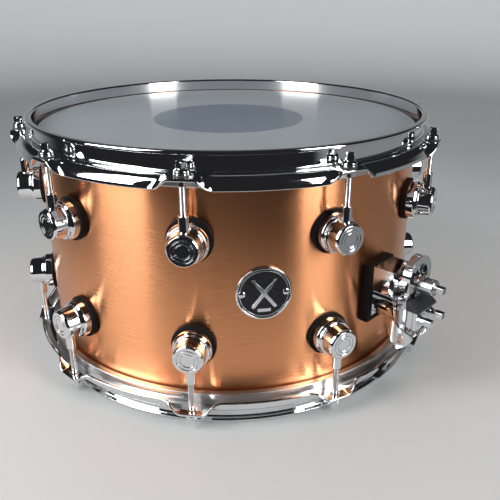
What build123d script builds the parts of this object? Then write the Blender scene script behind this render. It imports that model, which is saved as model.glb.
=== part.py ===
from build123d import *

import os
from math import asin, cos, degrees, radians, sin

# A 14 x 8 inch metal-shell snare drum, standing on its bottom hoop.
# Millimetres, +Z up. The origin is the centre of the bottom hoop's lip plane.
# +X points through the snare throw-off, and the butt plate is opposite, at -X.

# ---- Driving dimensions ----
SHELL_R = 177.0             # outside of the shell wall
SHELL_DEPTH = 203.2         # bearing edge to bearing edge
SHELL_WALL = 1.5
LIP_RISE = 12.1             # a hoop's lip stands this far past the bearing edge
LUGS = 10                   # tension rods on each head
FIRST_LUG = 18.0            # degrees from the throw-off to the first lug
BADGE_ANGLE = -36.0
VENT_ANGLE = 144.0

ROD_R = 193.56              # circle of the tension rods
SHELF_Z = 212.1             # face of the top hoop that the rods pull on
HOOP_T = 2.6                # hoop sheet thickness
SKIRT_Z = 201.1             # edge of the top hoop's turned-down skirt
LUG_Z = 158.7               # axis of the upper row of lugs

HEIGHT = SHELL_DEPTH + 2 * LIP_RISE
MID_Z = HEIGHT / 2
TOP_EDGE = HEIGHT - LIP_RISE
SHELL_IN = SHELL_R - SHELL_WALL
MID_PLANE = Plane.XY.offset(MID_Z)

FILM_T = 0.25
DOT_R = 71.5
FLESH_IN = 178.7
FLESH_OUT = 184.0
FLESH_H = 8.8
WALL_IN = 179.7             # hoop wall, inside and outside
WALL_OUT = 182.4
LIP_OUT = 186.0
SKIRT_OUT = 195.9
SHELF_UNDER = SHELF_Z - HOOP_T
EAR_OUT = 200.6
EAR_CUT_HALF = 15.0         # the skirt is left off this far each side of a rod

ROD_SHANK_R = 2.5
ROD_HOLE_R = 3.2
NUT_R = 3.9
NUT_END_Z = 183.7
NUT_INNER_Z = LUG_Z - 9
RUNNING_GAP = 0.05
WASHER_T = 1.2
WASHER_R = 5.6

GASKET_T = 3.0
LUG_BACK = SHELL_R + GASKET_T
LUG_GASKET_R = 18.3
LUG_BASE_R = 16.3
LUG_FRONT = 201.5

SCREW_R = 2.5
SCREW_HOLE_R = 3.0
SCREW_HEAD_R = 5.0
SCREW_HEAD_H = 3.6
SCREW_WASHER_R = 8.0

STRAP_HALF = 7.0
STRAP_T = 0.4
STRAP_Z = 10.7              # middle of the strap where it lies under the lower head
GATE_HALF = 13.0
GATE_LOW = 7.7

WIRES = 20
WIRE_R = 0.8
WIRE_PITCH = 2.2
WIRE_HALF_LENGTH = 150.0
WIRE_Z = 10.75
END_PLATE_T = 0.6
END_PLATE_LENGTH = 13.0
END_PLATE_WIDTH = 46.0


# ---- Helpers ----
def save(piece, name):
    """Label one finished piece and write its STEP file."""
    piece.part.label = name
    export_step(piece.part, f"parts/{name}.step")


def radial(angle, distance, height):
    """Plane facing outward from the shell: local X runs round it, local Y runs up."""
    turn = radians(angle)
    out = Vector(cos(turn), sin(turn), 0)
    return Plane(origin=out * distance + Vector(0, 0, height), x_dir=(-out.Y, out.X, 0), z_dir=out)


def level_axis(height):
    """Axis along +X at a height, for turned pieces that stand out of the shell."""
    return Axis((0, 0, height), (1, 0, 0))


def around(piece, count=LUGS, start=FIRST_LUG):
    """Copies of a piece made at angle 0, spaced round the drum."""
    with BuildPart() as group:
        with PolarLocations(0, count, start_angle=start):
            add(piece.part)
    return group


def with_mirror(piece):
    """A piece together with its copy on the other head's side."""
    with BuildPart() as pair:
        add(piece.part)
        mirror(about=MID_PLANE)
    return pair


def mirrored(piece):
    """The copy of a piece on the other head's side."""
    with BuildPart() as copy:
        add(piece.part.mirror(MID_PLANE))
    return copy


def drum_cylinder(radius, mode):
    """A solid the size of the shell's bore or outside, combined with the current part."""
    with BuildSketch(Plane.XY) as disc:
        Circle(radius)
    extrude(disc.sketch, amount=HEIGHT, mode=mode)


def side_profile(points, half_width, mode=Mode.ADD):
    """An outline in the vertical X-Z plane, extruded equally to both sides."""
    with BuildSketch(Plane.XZ) as outline:
        Polygon(*points, align=None)
    extrude(outline.sketch, amount=half_width, both=True, mode=mode)


def block(x_low, x_high, half_width, z_low, z_high, mode=Mode.ADD):
    """A plain block centred on the X-Z plane."""
    points = ((x_low, z_low), (x_high, z_low), (x_high, z_high), (x_low, z_high))
    side_profile(points, half_width, mode)


def cross_pin(x, z, radius, y_low, y_high, mode=Mode.ADD):
    """A round bar or hole along Y, made at both +Y and -Y."""
    for side in (-1, 1):
        with BuildSketch(Plane.XZ.offset(-side * y_low)) as disc:
            with Locations((x, z)):
                Circle(radius)
        extrude(disc.sketch, amount=-side * (y_high - y_low), mode=mode)


def level_pin(x_low, x_high, z, radius, mode=Mode.ADD, y=0.0):
    """A round bar or hole along X."""
    with BuildSketch(Plane.YZ.offset(x_low)) as disc:
        with Locations((y, z)):
            Circle(radius)
    extrude(disc.sketch, amount=x_high - x_low, mode=mode)


# ---- Shell and badge ----
FLANGE_TIP_R = 170.5        # the edge is folded in and down at 45 degrees
CROWN_R = 175.8
EDGE_CHAMFER = 0.8
FOLD_RISE = SHELL_WALL * 2 ** 0.5
BADGE_R = 22.35
BADGE_T = 0.9
BADGE_RIM = 1.9
BADGE_RIM_T = 1.5
RIVET_R = 1.5
RIVET_HEAD_R = 2.7
RIVET_OFFSET = 17.4
RIVET_GAP = 0.08            # between a rivet and the badge it holds
VENT_R = 7.0
VENT_BORE_R = 5.5
VENT_FLANGE_R = 10.0
VENT_FLANGE_T = 1.2
SNARE_BED_DEPTH = 1.5
SNARE_BED_HALF = 40.0
RIVET_TURN = degrees(asin(RIVET_OFFSET / SHELL_R))

THROW_SCREWS_Z = (81.0, 107.0)
BUTT_SCREWS_Z = (66.0, 90.0)


def shell_edge_points(sign):
    """One folded bearing edge, from the outer wall to the inner wall."""
    fold = TOP_EDGE - (CROWN_R - FLANGE_TIP_R)
    inner_fold = TOP_EDGE - FOLD_RISE - (CROWN_R - SHELL_IN)
    edge = [
        (SHELL_R, TOP_EDGE - EDGE_CHAMFER),
        (SHELL_R - EDGE_CHAMFER, TOP_EDGE),
        (CROWN_R, TOP_EDGE),
        (FLANGE_TIP_R, fold),
        (FLANGE_TIP_R + FOLD_RISE / 2, fold - FOLD_RISE / 2),
        (SHELL_IN, inner_fold),
    ]
    return [(r, MID_Z + sign * (z - MID_Z)) for r, z in edge]


def make_shell():
    with BuildPart() as shell:
        with BuildSketch(Plane.XZ):
            Polygon(*shell_edge_points(1), *reversed(shell_edge_points(-1)), align=None)
        revolve(axis=Axis.Z)
        for height in (LUG_Z, HEIGHT - LUG_Z):
            for i in range(LUGS):
                with BuildSketch(radial(FIRST_LUG + i * 360 / LUGS, SHELL_IN - 2, height)):
                    Circle(SCREW_HOLE_R)
                extrude(amount=SHELL_WALL + 4, mode=Mode.SUBTRACT)
        with BuildSketch(radial(VENT_ANGLE, SHELL_IN - 2, MID_Z)):
            Circle(VENT_R)
        extrude(amount=SHELL_WALL + 4, mode=Mode.SUBTRACT)
        for side in (-1, 1):
            with BuildSketch(radial(BADGE_ANGLE + side * RIVET_TURN, SHELL_IN - 2, MID_Z)):
                Circle(RIVET_R)
            extrude(amount=SHELL_WALL + 4, mode=Mode.SUBTRACT)
        for z in THROW_SCREWS_Z:
            level_pin(SHELL_IN - 2, SHELL_R + 2, z, SCREW_HOLE_R, Mode.SUBTRACT)
        for z in BUTT_SCREWS_Z:
            level_pin(-SHELL_R - 2, -SHELL_IN + 2, z, SCREW_HOLE_R, Mode.SUBTRACT)
        bed_radius = SNARE_BED_HALF ** 2 / (2 * SNARE_BED_DEPTH)
        with BuildSketch(Plane.YZ.offset(-SHELL_R)):
            with Locations((0, LIP_RISE + SNARE_BED_DEPTH - bed_radius)):
                Circle(bed_radius)
        extrude(amount=2 * SHELL_R, mode=Mode.SUBTRACT)
    save(shell, "shell")


def make_badge():
    with BuildPart() as badge:
        with BuildSketch(radial(BADGE_ANGLE, SHELL_IN, MID_Z)):
            Circle(BADGE_R)
        extrude(amount=10)
        drum_cylinder(SHELL_R + BADGE_T, Mode.INTERSECT)
        drum_cylinder(SHELL_R, Mode.SUBTRACT)
        for side in (-1, 1):
            with BuildSketch(radial(BADGE_ANGLE + side * RIVET_TURN, SHELL_IN, MID_Z)):
                Circle(RIVET_R + RIVET_GAP)
            extrude(amount=10, mode=Mode.SUBTRACT)
    with BuildPart() as rim:
        with BuildSketch(radial(BADGE_ANGLE, SHELL_IN, MID_Z)):
            Circle(BADGE_R)
            Circle(BADGE_R - BADGE_RIM, mode=Mode.SUBTRACT)
        extrude(amount=10)
        drum_cylinder(SHELL_R + BADGE_RIM_T, Mode.INTERSECT)
        drum_cylinder(SHELL_R + BADGE_T / 2, Mode.SUBTRACT)
    with BuildPart() as badge_plate:
        add(badge.part)
        add(rim.part)
    save(badge_plate, "badge_plate")

    with BuildPart() as outer_heads:
        for side in (-1, 1):
            with BuildSketch(radial(BADGE_ANGLE + side * RIVET_TURN, SHELL_R + BADGE_T - 0.1, MID_Z)):
                Circle(RIVET_HEAD_R)
            extrude(amount=1.0, taper=30)
        drum_cylinder(SHELL_R + BADGE_T + RIVET_GAP, Mode.SUBTRACT)
    with BuildPart() as inner_heads:
        for side in (-1, 1):
            with BuildSketch(radial(BADGE_ANGLE + side * RIVET_TURN, SHELL_IN - 0.8, MID_Z)):
                Circle(RIVET_HEAD_R)
            extrude(amount=0.8)
        drum_cylinder(SHELL_IN, Mode.INTERSECT)
    with BuildPart() as badge_rivets:
        add(outer_heads.part)
        add(inner_heads.part)
        for side in (-1, 1):
            with BuildSketch(radial(BADGE_ANGLE + side * RIVET_TURN, SHELL_IN - 0.4, MID_Z)):
                Circle(RIVET_R)
            extrude(amount=SHELL_WALL + BADGE_T + 0.6)
    save(badge_rivets, "badge_rivets")


def make_vent():
    with BuildPart() as vent:
        with BuildSketch(radial(VENT_ANGLE, SHELL_IN - 2, MID_Z)):
            Circle(VENT_R)
        extrude(amount=SHELL_WALL + 2)
        with BuildSketch(radial(VENT_ANGLE, SHELL_R, MID_Z)):
            Circle(VENT_FLANGE_R)
        extrude(amount=VENT_FLANGE_T, taper=25)
        with BuildSketch(radial(VENT_ANGLE, SHELL_IN - 0.2, MID_Z)):
            Circle(VENT_R + 1)
        extrude(amount=-1.0)
        with BuildSketch(radial(VENT_ANGLE, SHELL_IN - 4, MID_Z)):
            Circle(VENT_BORE_R)
        extrude(amount=10, mode=Mode.SUBTRACT)
    save(vent, "vent_grommet")


# ---- Heads ----
COLLAR_R = 177.3
COLLAR_FOOT_Z = 204.0
FLAT_FILM_R = CROWN_R + 0.6   # the collar starts here, just outside the bearing edge
COLLAR_DROP = 0.9
COLLAR_TURN = 1.4           # the collar turns out to the flesh hoop over this height
FLESH_CHAMFER = 0.8


def make_heads():
    collar_out = COLLAR_R + FILM_T
    collar_top = TOP_EDGE - COLLAR_DROP
    with BuildPart() as film:
        with BuildSketch(Plane.XY.offset(TOP_EDGE)):
            Circle(FLAT_FILM_R)
        extrude(amount=FILM_T)
    save(film, "batter_film")
    save(mirrored(film), "snare_side_film")

    with BuildPart() as collar:
        with BuildSketch(Plane.XZ):
            Polygon(
                (FLAT_FILM_R, TOP_EDGE),
                (COLLAR_R, collar_top),
                (COLLAR_R, COLLAR_FOOT_Z + COLLAR_TURN),
                (FLESH_IN, COLLAR_FOOT_Z),
                (FLESH_IN, COLLAR_FOOT_Z + FILM_T * 1.5),
                (collar_out, COLLAR_FOOT_Z + COLLAR_TURN + 0.2),
                (collar_out, collar_top + 0.1),
                (FLAT_FILM_R, TOP_EDGE + FILM_T),
                align=None,
            )
        revolve(axis=Axis.Z)
    save(collar, "batter_film_collar")
    save(mirrored(collar), "snare_side_film_collar")

    with BuildPart() as dot:
        with BuildSketch(Plane.XY.offset(TOP_EDGE + FILM_T)):
            Circle(DOT_R)
        extrude(amount=FILM_T)
    save(dot, "batter_dot")

    with BuildPart() as flesh_hoop:
        with BuildSketch(Plane.XY.offset(SHELF_UNDER - FLESH_H)):
            Circle(FLESH_OUT)
            Circle(FLESH_IN, mode=Mode.SUBTRACT)
        extrude(amount=FLESH_H)
        chamfer(flesh_hoop.edges().group_by(Axis.Z)[0], FLESH_CHAMFER)
    save(flesh_hoop, "batter_flesh_hoop")
    save(mirrored(flesh_hoop), "snare_side_flesh_hoop")


# ---- Hoops ----
SHELF_CORNER = 8.9          # outer bend between the shelf and the skirt
BEND_OUT = SKIRT_OUT - 0.3  # the skirt leans out by the rest
WALL_CORNER = 1.2
EAR_INNER = 186.5
EAR_CORNER = 5.0


def make_hoops():
    flat_end = BEND_OUT - SHELF_CORNER
    inner_bend = SHELF_CORNER - HOOP_T
    with BuildPart() as hoop:
        with BuildSketch(Plane.XZ):
            with BuildLine():
                Polyline(
                    (flat_end, SHELF_Z),
                    (WALL_OUT, SHELF_Z),
                    (WALL_OUT, HEIGHT - HOOP_T),
                    (LIP_OUT, HEIGHT - HOOP_T),
                    (LIP_OUT, HEIGHT),
                    (WALL_IN + WALL_CORNER, HEIGHT),
                    (WALL_IN, HEIGHT - WALL_CORNER),
                    (WALL_IN, SHELF_UNDER),
                    (flat_end, SHELF_UNDER),
                )
                RadiusArc(
                    (flat_end, SHELF_UNDER),
                    (BEND_OUT - HOOP_T, SHELF_UNDER - inner_bend),
                    inner_bend,
                )
                Polyline(
                    (BEND_OUT - HOOP_T, SHELF_UNDER - inner_bend),
                    (SKIRT_OUT - HOOP_T, SKIRT_Z),
                    (SKIRT_OUT, SKIRT_Z),
                    (BEND_OUT, SHELF_Z - SHELF_CORNER),
                )
                RadiusArc(
                    (BEND_OUT, SHELF_Z - SHELF_CORNER),
                    (flat_end, SHELF_Z),
                    -SHELF_CORNER,
                )
            make_face()
        revolve(axis=Axis.Z)
        with BuildSketch(Plane.XY.offset(SKIRT_Z - 1)):
            with PolarLocations((EAR_INNER + EAR_OUT) / 2 + 2, LUGS, start_angle=FIRST_LUG):
                Rectangle(EAR_OUT - EAR_INNER, 2 * EAR_CUT_HALF)
        extrude(amount=SHELF_UNDER - SKIRT_Z + 1, mode=Mode.SUBTRACT)

    with BuildPart() as ear:
        with BuildSketch(Plane.XY.offset(SHELF_UNDER)) as outline:
            Polygon(
                (EAR_INNER, -EAR_CUT_HALF),
                (SKIRT_OUT - 2, -EAR_CUT_HALF + 0.5),
                (EAR_OUT, -EAR_CUT_HALF / 2),
                (EAR_OUT, EAR_CUT_HALF / 2),
                (SKIRT_OUT - 2, EAR_CUT_HALF - 0.5),
                (EAR_INNER, EAR_CUT_HALF),
                align=None,
            )
            fillet(outline.vertices().group_by(Axis.X)[-1], EAR_CORNER)
        extrude(amount=HOOP_T)

    with BuildPart() as top_hoop:
        add(hoop.part)
        with PolarLocations(0, LUGS, start_angle=FIRST_LUG):
            add(ear.part)
        with BuildSketch(Plane.XY.offset(SHELF_Z + 1)):
            with PolarLocations(ROD_R, LUGS, start_angle=FIRST_LUG):
                Circle(ROD_HOLE_R)
        extrude(amount=-HOOP_T - 2, mode=Mode.SUBTRACT)
    save(top_hoop, "top_hoop")

    with BuildPart() as bottom_hoop:
        add(top_hoop.part.mirror(MID_PLANE))
        block(-WALL_OUT - 1, WALL_OUT + 1, GATE_HALF, GATE_LOW, HEIGHT - SHELF_Z, Mode.SUBTRACT)
    save(bottom_hoop, "bottom_hoop")


# ---- Lugs, tube nuts, rods and their fasteners ----
LUG_BODY_R = 13.3
LUG_FACE_R = 12.6
LUG_BEVEL = 2.3
LUG_STEP = 189.5
LUG_DISH_R = 7.5
LUG_DISH_DEPTH = 1.2
LUG_BASE_TOP = 188.0
LUG_BASE_EDGE = 186.2
LUG_SCREW_END = 188.4
NUT_ROUNDING = 1.0
NUT_BORE_START = 1.5


def make_lugs():
    with BuildPart() as gasket:
        with BuildSketch(radial(0, SHELL_IN, LUG_Z)):
            Circle(LUG_GASKET_R)
        extrude(amount=LUG_BACK - SHELL_IN)
        drum_cylinder(SHELL_R, Mode.SUBTRACT)
        level_pin(SHELL_IN, LUG_BACK, LUG_Z, SCREW_HOLE_R, Mode.SUBTRACT)
    save(with_mirror(around(gasket)), "lug_gaskets")

    rows = (
        (LUG_BACK, 0),
        (LUG_BACK, LUG_BASE_R),
        (LUG_BASE_EDGE, LUG_BASE_R),
        (LUG_BASE_TOP - 0.4, LUG_BASE_R - 0.7),
        (LUG_BASE_TOP, LUG_BASE_R - 1.6),
        (LUG_STEP, LUG_BASE_R - 1.8),
        (LUG_STEP, LUG_BODY_R),
        (LUG_FRONT - LUG_BEVEL, LUG_FACE_R),
        (LUG_FRONT - 0.5, LUG_FACE_R - 0.6),
        (LUG_FRONT, LUG_FACE_R - LUG_BEVEL),
        (LUG_FRONT, LUG_DISH_R),
        (LUG_FRONT - LUG_DISH_DEPTH, LUG_DISH_R - 0.9),
        (LUG_FRONT - LUG_DISH_DEPTH, 0),
    )
    with BuildPart() as lug:
        with BuildSketch(Plane.XZ):
            Polygon(*[(r, LUG_Z + rho) for r, rho in rows], align=None)
        revolve(axis=level_axis(LUG_Z))
        with BuildSketch(Plane.XY.offset(NUT_INNER_Z)):
            with Locations((ROD_R, 0)):
                Circle(NUT_R)
        extrude(amount=2 * LUG_BASE_R, mode=Mode.SUBTRACT)
        level_pin(LUG_BACK, LUG_SCREW_END, LUG_Z, SCREW_R, Mode.SUBTRACT)
    top_lugs = around(lug)
    save(top_lugs, "top_lugs")
    save(mirrored(top_lugs), "bottom_lugs")

    with BuildPart() as nut:
        with BuildSketch(Plane.XY.offset(NUT_INNER_Z)):
            with Locations((ROD_R, 0)):
                Circle(NUT_R)
        extrude(amount=NUT_END_Z - NUT_INNER_Z)
        fillet(nut.edges().group_by(Axis.Z)[-1], NUT_ROUNDING)
        with BuildSketch(Plane.XY.offset(NUT_INNER_Z + NUT_BORE_START)):
            with Locations((ROD_R, 0)):
                Circle(ROD_SHANK_R + RUNNING_GAP)
        extrude(amount=NUT_END_Z - NUT_INNER_Z, mode=Mode.SUBTRACT)
    top_nuts = around(nut)
    save(top_nuts, "top_tube_nuts")
    save(mirrored(top_nuts), "bottom_tube_nuts")


LUG_SCREW_TIP = 188.3
THROW_SCREW_TIP = 190.0
BUTT_SCREW_TIP = 188.0


def shell_screw(z_list, tip, side=1):
    """Screws put in from inside the shell, heads inward, and their curved washers."""
    under_head = SHELL_IN - WASHER_T
    with BuildPart() as screws:
        for z in z_list:
            level_pin(side * under_head, side * tip, z, SCREW_R)
            level_pin(side * (under_head - SCREW_HEAD_H), side * under_head, z, SCREW_HEAD_R)
    with BuildPart() as washers:
        for z in z_list:
            level_pin(side * under_head, side * SHELL_R, z, SCREW_WASHER_R)
            level_pin(side * under_head, side * SHELL_R, z, SCREW_R, Mode.SUBTRACT)
        drum_cylinder(SHELL_IN, Mode.INTERSECT)
    return screws, washers


def make_shell_fasteners():
    screw, washer = shell_screw((LUG_Z,), LUG_SCREW_TIP)
    lug_screws = with_mirror(around(screw))
    save(lug_screws, "lug_screws")
    throw_screws, throw_washers = shell_screw(THROW_SCREWS_Z, THROW_SCREW_TIP)
    save(throw_screws, "throwoff_mounting_screws")
    butt_screws, butt_washers = shell_screw(BUTT_SCREWS_Z, BUTT_SCREW_TIP, -1)
    save(butt_screws, "butt_mounting_screws")
    with BuildPart() as inner_washers:
        add(with_mirror(around(washer)).part)
        add(throw_washers.part)
        add(butt_washers.part)
    save(inner_washers, "inner_washers")


ROD_COLLAR_Z = SHELF_Z + 2 * WASHER_T + RUNNING_GAP
ROD_COLLAR_TOP = 218.0
ROD_TIP_Z = 223.1
ROD_COLLAR_R = 5.3
ROD_NECK_R = 3.4
ROD_HEAD = 6.0
ROD_END_Z = 163.0
ROD_END_CHAMFER = 0.6
ROD_COLLAR_EDGE = 0.9
ROD_NECK_BEND = 3.6
ROD_HEAD_ROUNDING = 1.1


def make_rods():
    with BuildPart() as rod:
        with BuildSketch(Plane.XZ):
            with BuildLine():
                Polyline(
                    (ROD_R, ROD_END_Z),
                    (ROD_R + ROD_SHANK_R - ROD_END_CHAMFER, ROD_END_Z),
                    (ROD_R + ROD_SHANK_R, ROD_END_Z + ROD_END_CHAMFER),
                    (ROD_R + ROD_SHANK_R, ROD_COLLAR_Z),
                    (ROD_R + ROD_COLLAR_R, ROD_COLLAR_Z),
                    (ROD_R + ROD_COLLAR_R, ROD_COLLAR_Z + ROD_COLLAR_EDGE),
                )
                RadiusArc(
                    (ROD_R + ROD_COLLAR_R, ROD_COLLAR_Z + ROD_COLLAR_EDGE),
                    (ROD_R + ROD_NECK_R, ROD_COLLAR_TOP),
                    -ROD_NECK_BEND,
                )
                Polyline(
                    (ROD_R + ROD_NECK_R, ROD_COLLAR_TOP),
                    (ROD_R, ROD_COLLAR_TOP),
                    (ROD_R, ROD_END_Z),
                )
            make_face()
        revolve(axis=Axis((ROD_R, 0, 0), (0, 0, 1)))
        with BuildSketch(Plane.XY.offset(ROD_COLLAR_TOP)):
            with Locations((ROD_R, 0)):
                RectangleRounded(ROD_HEAD, ROD_HEAD, 0.5)
        extrude(amount=ROD_TIP_Z - ROD_COLLAR_TOP)
        fillet(rod.edges().group_by(Axis.Z)[-1], ROD_HEAD_ROUNDING)
    for i in range(LUGS):
        one = around(rod, 1, FIRST_LUG + i * 360 / LUGS)
        save(one, f"top_rod_{i + 1:02d}")
        save(mirrored(one), f"bottom_rod_{i + 1:02d}")

    for name, low in (("nylon_washers", SHELF_Z), ("steel_washers", SHELF_Z + WASHER_T)):
        with BuildPart() as washer:
            with BuildSketch(Plane.XY.offset(low)):
                with Locations((ROD_R, 0)):
                    Circle(WASHER_R)
                    Circle(ROD_SHANK_R + 0.3, mode=Mode.SUBTRACT)
            extrude(amount=WASHER_T)
        save(with_mirror(around(washer)), name)


# ---- Throw-off ----
PIVOT_X = 215.5
PIVOT_Z = 63.1
SIDE_HALF = 14.0            # half width of the throw-off at its foot
RING_R = 17.0               # the lever's finger ring
RING_Z = 117.5
FLARE_Z = 78.0              # the sides widen from here up to the ring
PAD_HALF = 17.0             # the rubber pad behind the base
PAD_LOW = 67.3
PAD_HIGH = 120.5
PAD_FRONT = 182.8
POCKET_HALF = 11.0          # the pad's pocket, which holds the base's back plate
POCKET_LOW = 72.0
POCKET_HIGH = 114.0
BLOCK_HALF = 14.6
LOBE_IN = 11.4              # the base's two lobes start this far from the middle
TONGUE_OUT = 11.1           # the lever's two tongues run inside the lobes
TONGUE_IN = 8.8
PIVOT_R = 2.5
PIVOT_TIP_R = 2.0
PIVOT_HEAD = 0.4            # how far a pivot screw stands out of its lobe
FORK_LOW = 50.0             # the gap between the lobes
FORK_HIGH = FLARE_Z
FORK_FRONT = PIVOT_X + 12
BASE_BACK = SHELL_R + GASKET_T
BASE_BLOCK_LOW = 98.0
BASE_BLOCK_TOP = 119.4
BASE_BLOCK_FRONT = 200.0
BASE_PLATE_TOP = 115.5
BASE_FRONT = 207.8
BASE_SCREW_END = 190.5
BOSS_R = 9.5
BOSS_Z = 81.0
BOSS_FRONT = 197.0
RIB_X = 202.5
RIB_R = 8.6
RIB_LOW = 52.5
RIB_HEIGHT = 28.0
LEVER_BACK = 208.6
LEVER_FRONT = 216.5
RING_BACK = 211.5
RING_FRONT = 218.4
LEVER_DEPTH = 14.0          # more than the lever's full thickness
KNOB_Z = 110.6
KNOB_R = 6.75
KNOB_BACK = 218.6
KNOB_FRONT = 232.5
KNOB_STEP_R = 4.2
SPINDLE_R = 2.0
SPINDLE_COLLAR_R = 3.0
CAM_R = 4.3
CAM_OFFSET = 2.0
CAM_END_GAP = 0.3
YOKE_GAP = 0.3
YOKE_T = 1.8
YOKE_HEIGHT = 14.0
SLOT_HALF = 9.0
SLOT_LOW = 105.0
SLOT_HIGH = 118.0
HOLE_R = 10.8
HOLE_Z = 116.8
ARM_BACK = LEVER_BACK + 2.4  # the slide block's arm, which carries the knob's spindle
ARM_T = 3.0
ARM_HALF = 4.0
ARM_EYE_R = ARM_HALF + 0.5
ARM_FOOT_Z = 99.0
ARM_TURN_Z = 104.0
ARM_STEM_T = 1.5
CLAMP_SCREW_Y = 9.4
CLAMP_SCREW_Z = 84.0
CLAMP_SCREW_R = 2.0
CLAMP_FLANGE_R = 4.2
CLAMP_FLANGE_T = 1.4
CLAMP_NECK_R = 3.2
CLAMP_NECK_END = 5.2
SLIDE_HALF = 12.5
SLIDE_LOW = 75.0
SLIDE_GAP = 0.3             # running gap between the slide block and the lever
SLIDE_BACK = LEVER_FRONT + SLIDE_GAP
BLOCK_FACE = 221.7
COVER_HALF = 14.6
COVER_LOW = 90.6
COVER_BACK_TOP = 99.2
COVER_FRONT_TOP = 92.6
COVER_FRONT = 227.8
PLATE_T = 3.7               # the clamp plate in front of the strap
PLATE_LOW = 74.0
PLATE_HIGH = COVER_LOW - 0.4
PLATE_FRONT = BLOCK_FACE + STRAP_T + PLATE_T
SQUARE = 5.4                # square drives of the clamp screws and the knob
SQUARE_CORNER = 0.5
SQUARE_LENGTH = 6.5

# Outlines seen from the side, as X and Z.
BASE_SIDE = (
    (BASE_BLOCK_FRONT, BASE_PLATE_TOP), (BASE_FRONT, BASE_PLATE_TOP), (BASE_FRONT, 76.4), (211.6, 72.0),
    (216.5, 70.2), (219.8, 69.4), (222.6, 68.6), (223.2, 64.0), (220.4, 58.8), (217.3, 56.6),
    (211.1, 52.2), (209.0, 56.0), (208.0, 64.0), (206.6, 76.0), (205.2, 88.0), (203.5, 96.0),
    (BASE_BLOCK_FRONT, 103.0),
)
RIB_SIDE = ((190, 72), (196, 62), (203.5, 53), (208.2, 53), (208.2, 79), (190, 79))
LEVER_SIDE = (
    (LEVER_BACK, 77.2), (212.6, 73.2), (LEVER_FRONT, 72.6), (LEVER_FRONT, 100), (RING_FRONT, 106),
    (RING_FRONT, 136), (RING_BACK, 136), (RING_BACK, 118), (LEVER_BACK, 113),
)
TONGUE_SIDE = (
    (209.4, FLARE_Z), (209.4, 71), (210.2, 60), (PIVOT_X, 57), (220.5, 60), (221, 66), (LEVER_FRONT, 72.6),
    (LEVER_FRONT, FLARE_Z),
)
COVER_SIDE = (
    (SLIDE_BACK, COVER_LOW), (COVER_FRONT, COVER_LOW), (COVER_FRONT, COVER_FRONT_TOP),
    (SLIDE_BACK + ARM_STEM_T, COVER_BACK_TOP), (SLIDE_BACK, COVER_BACK_TOP),
)
# The flare from the boss to the front plate, as X and distance from the boss's axis.
TRUMPET = ((190, 0), (194, BOSS_R), (198.5, 10.2), (202.5, 11.4), (206.2, 13.6), (206.2, 0))


def flared_outline(low):
    """The outline of the lever and the base's front plate: they widen from the foot up to the ring."""
    Polygon(
        (-SIDE_HALF, low), (SIDE_HALF, low), (SIDE_HALF, FLARE_Z), (RING_R, RING_Z),
        (-RING_R, RING_Z), (-SIDE_HALF, FLARE_Z),
        align=None,
    )


def square_drive(x, y, z, length):
    """The square end of a screw that points along X."""
    with BuildSketch(Plane.YZ.offset(x)) as square:
        with Locations((y, z)):
            RectangleRounded(SQUARE, SQUARE, SQUARE_CORNER)
    extrude(square.sketch, amount=length)


def make_throwoff_gasket():
    with BuildPart() as gasket:
        block(SHELL_IN, PAD_FRONT, PAD_HALF, PAD_LOW, PAD_HIGH)
        drum_cylinder(SHELL_R, Mode.SUBTRACT)
        block(BASE_BACK, PAD_FRONT, POCKET_HALF, POCKET_LOW, POCKET_HIGH, Mode.SUBTRACT)
        for z in THROW_SCREWS_Z:
            level_pin(SHELL_IN, BASE_BACK, z, SCREW_HOLE_R, Mode.SUBTRACT)
    save(gasket, "throwoff_gasket")


def make_throwoff_base():
    with BuildPart() as front_plate:
        side_profile(BASE_SIDE, PAD_HALF)
        with BuildSketch(Plane.YZ):
            flared_outline(FORK_LOW)
        extrude(amount=FORK_FRONT, mode=Mode.INTERSECT)
        block(BASE_BLOCK_FRONT, FORK_FRONT, LOBE_IN, FORK_LOW, FORK_HIGH, Mode.SUBTRACT)
    with BuildPart() as rib:
        with BuildSketch(Plane.XY.offset(RIB_LOW)):
            with Locations((RIB_X, 0)):
                Circle(RIB_R)
        extrude(amount=RIB_HEIGHT)
        side_profile(RIB_SIDE, SIDE_HALF, Mode.INTERSECT)
    with BuildPart() as trumpet:
        with BuildSketch(Plane.XZ):
            Polygon(*TRUMPET, align=None)
        revolve(axis=Axis.X)
    with BuildPart() as base:
        block(BASE_BACK, PAD_FRONT, POCKET_HALF, POCKET_LOW, POCKET_HIGH)
        block(PAD_FRONT, BASE_BLOCK_FRONT + 2, BLOCK_HALF, BASE_BLOCK_LOW, BASE_BLOCK_TOP)
        level_pin(PAD_FRONT, BOSS_FRONT, BOSS_Z, BOSS_R)
        add(trumpet.part.moved(Location((0, 0, BOSS_Z))))
        add(front_plate.part)
        add(rib.part)
        cross_pin(PIVOT_X, PIVOT_Z, PIVOT_R, LOBE_IN, SIDE_HALF, Mode.SUBTRACT)
        for z in THROW_SCREWS_Z:
            level_pin(BASE_BACK, BASE_SCREW_END, z, SCREW_R, Mode.SUBTRACT)
    save(base, "throwoff_base")

    with BuildPart() as pivot_screws:
        cross_pin(PIVOT_X, PIVOT_Z, PIVOT_R, LOBE_IN, SIDE_HALF + PIVOT_HEAD)
        cross_pin(PIVOT_X, PIVOT_Z, PIVOT_TIP_R, TONGUE_IN, LOBE_IN)
    save(pivot_screws, "throwoff_pivot_screws")


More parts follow.
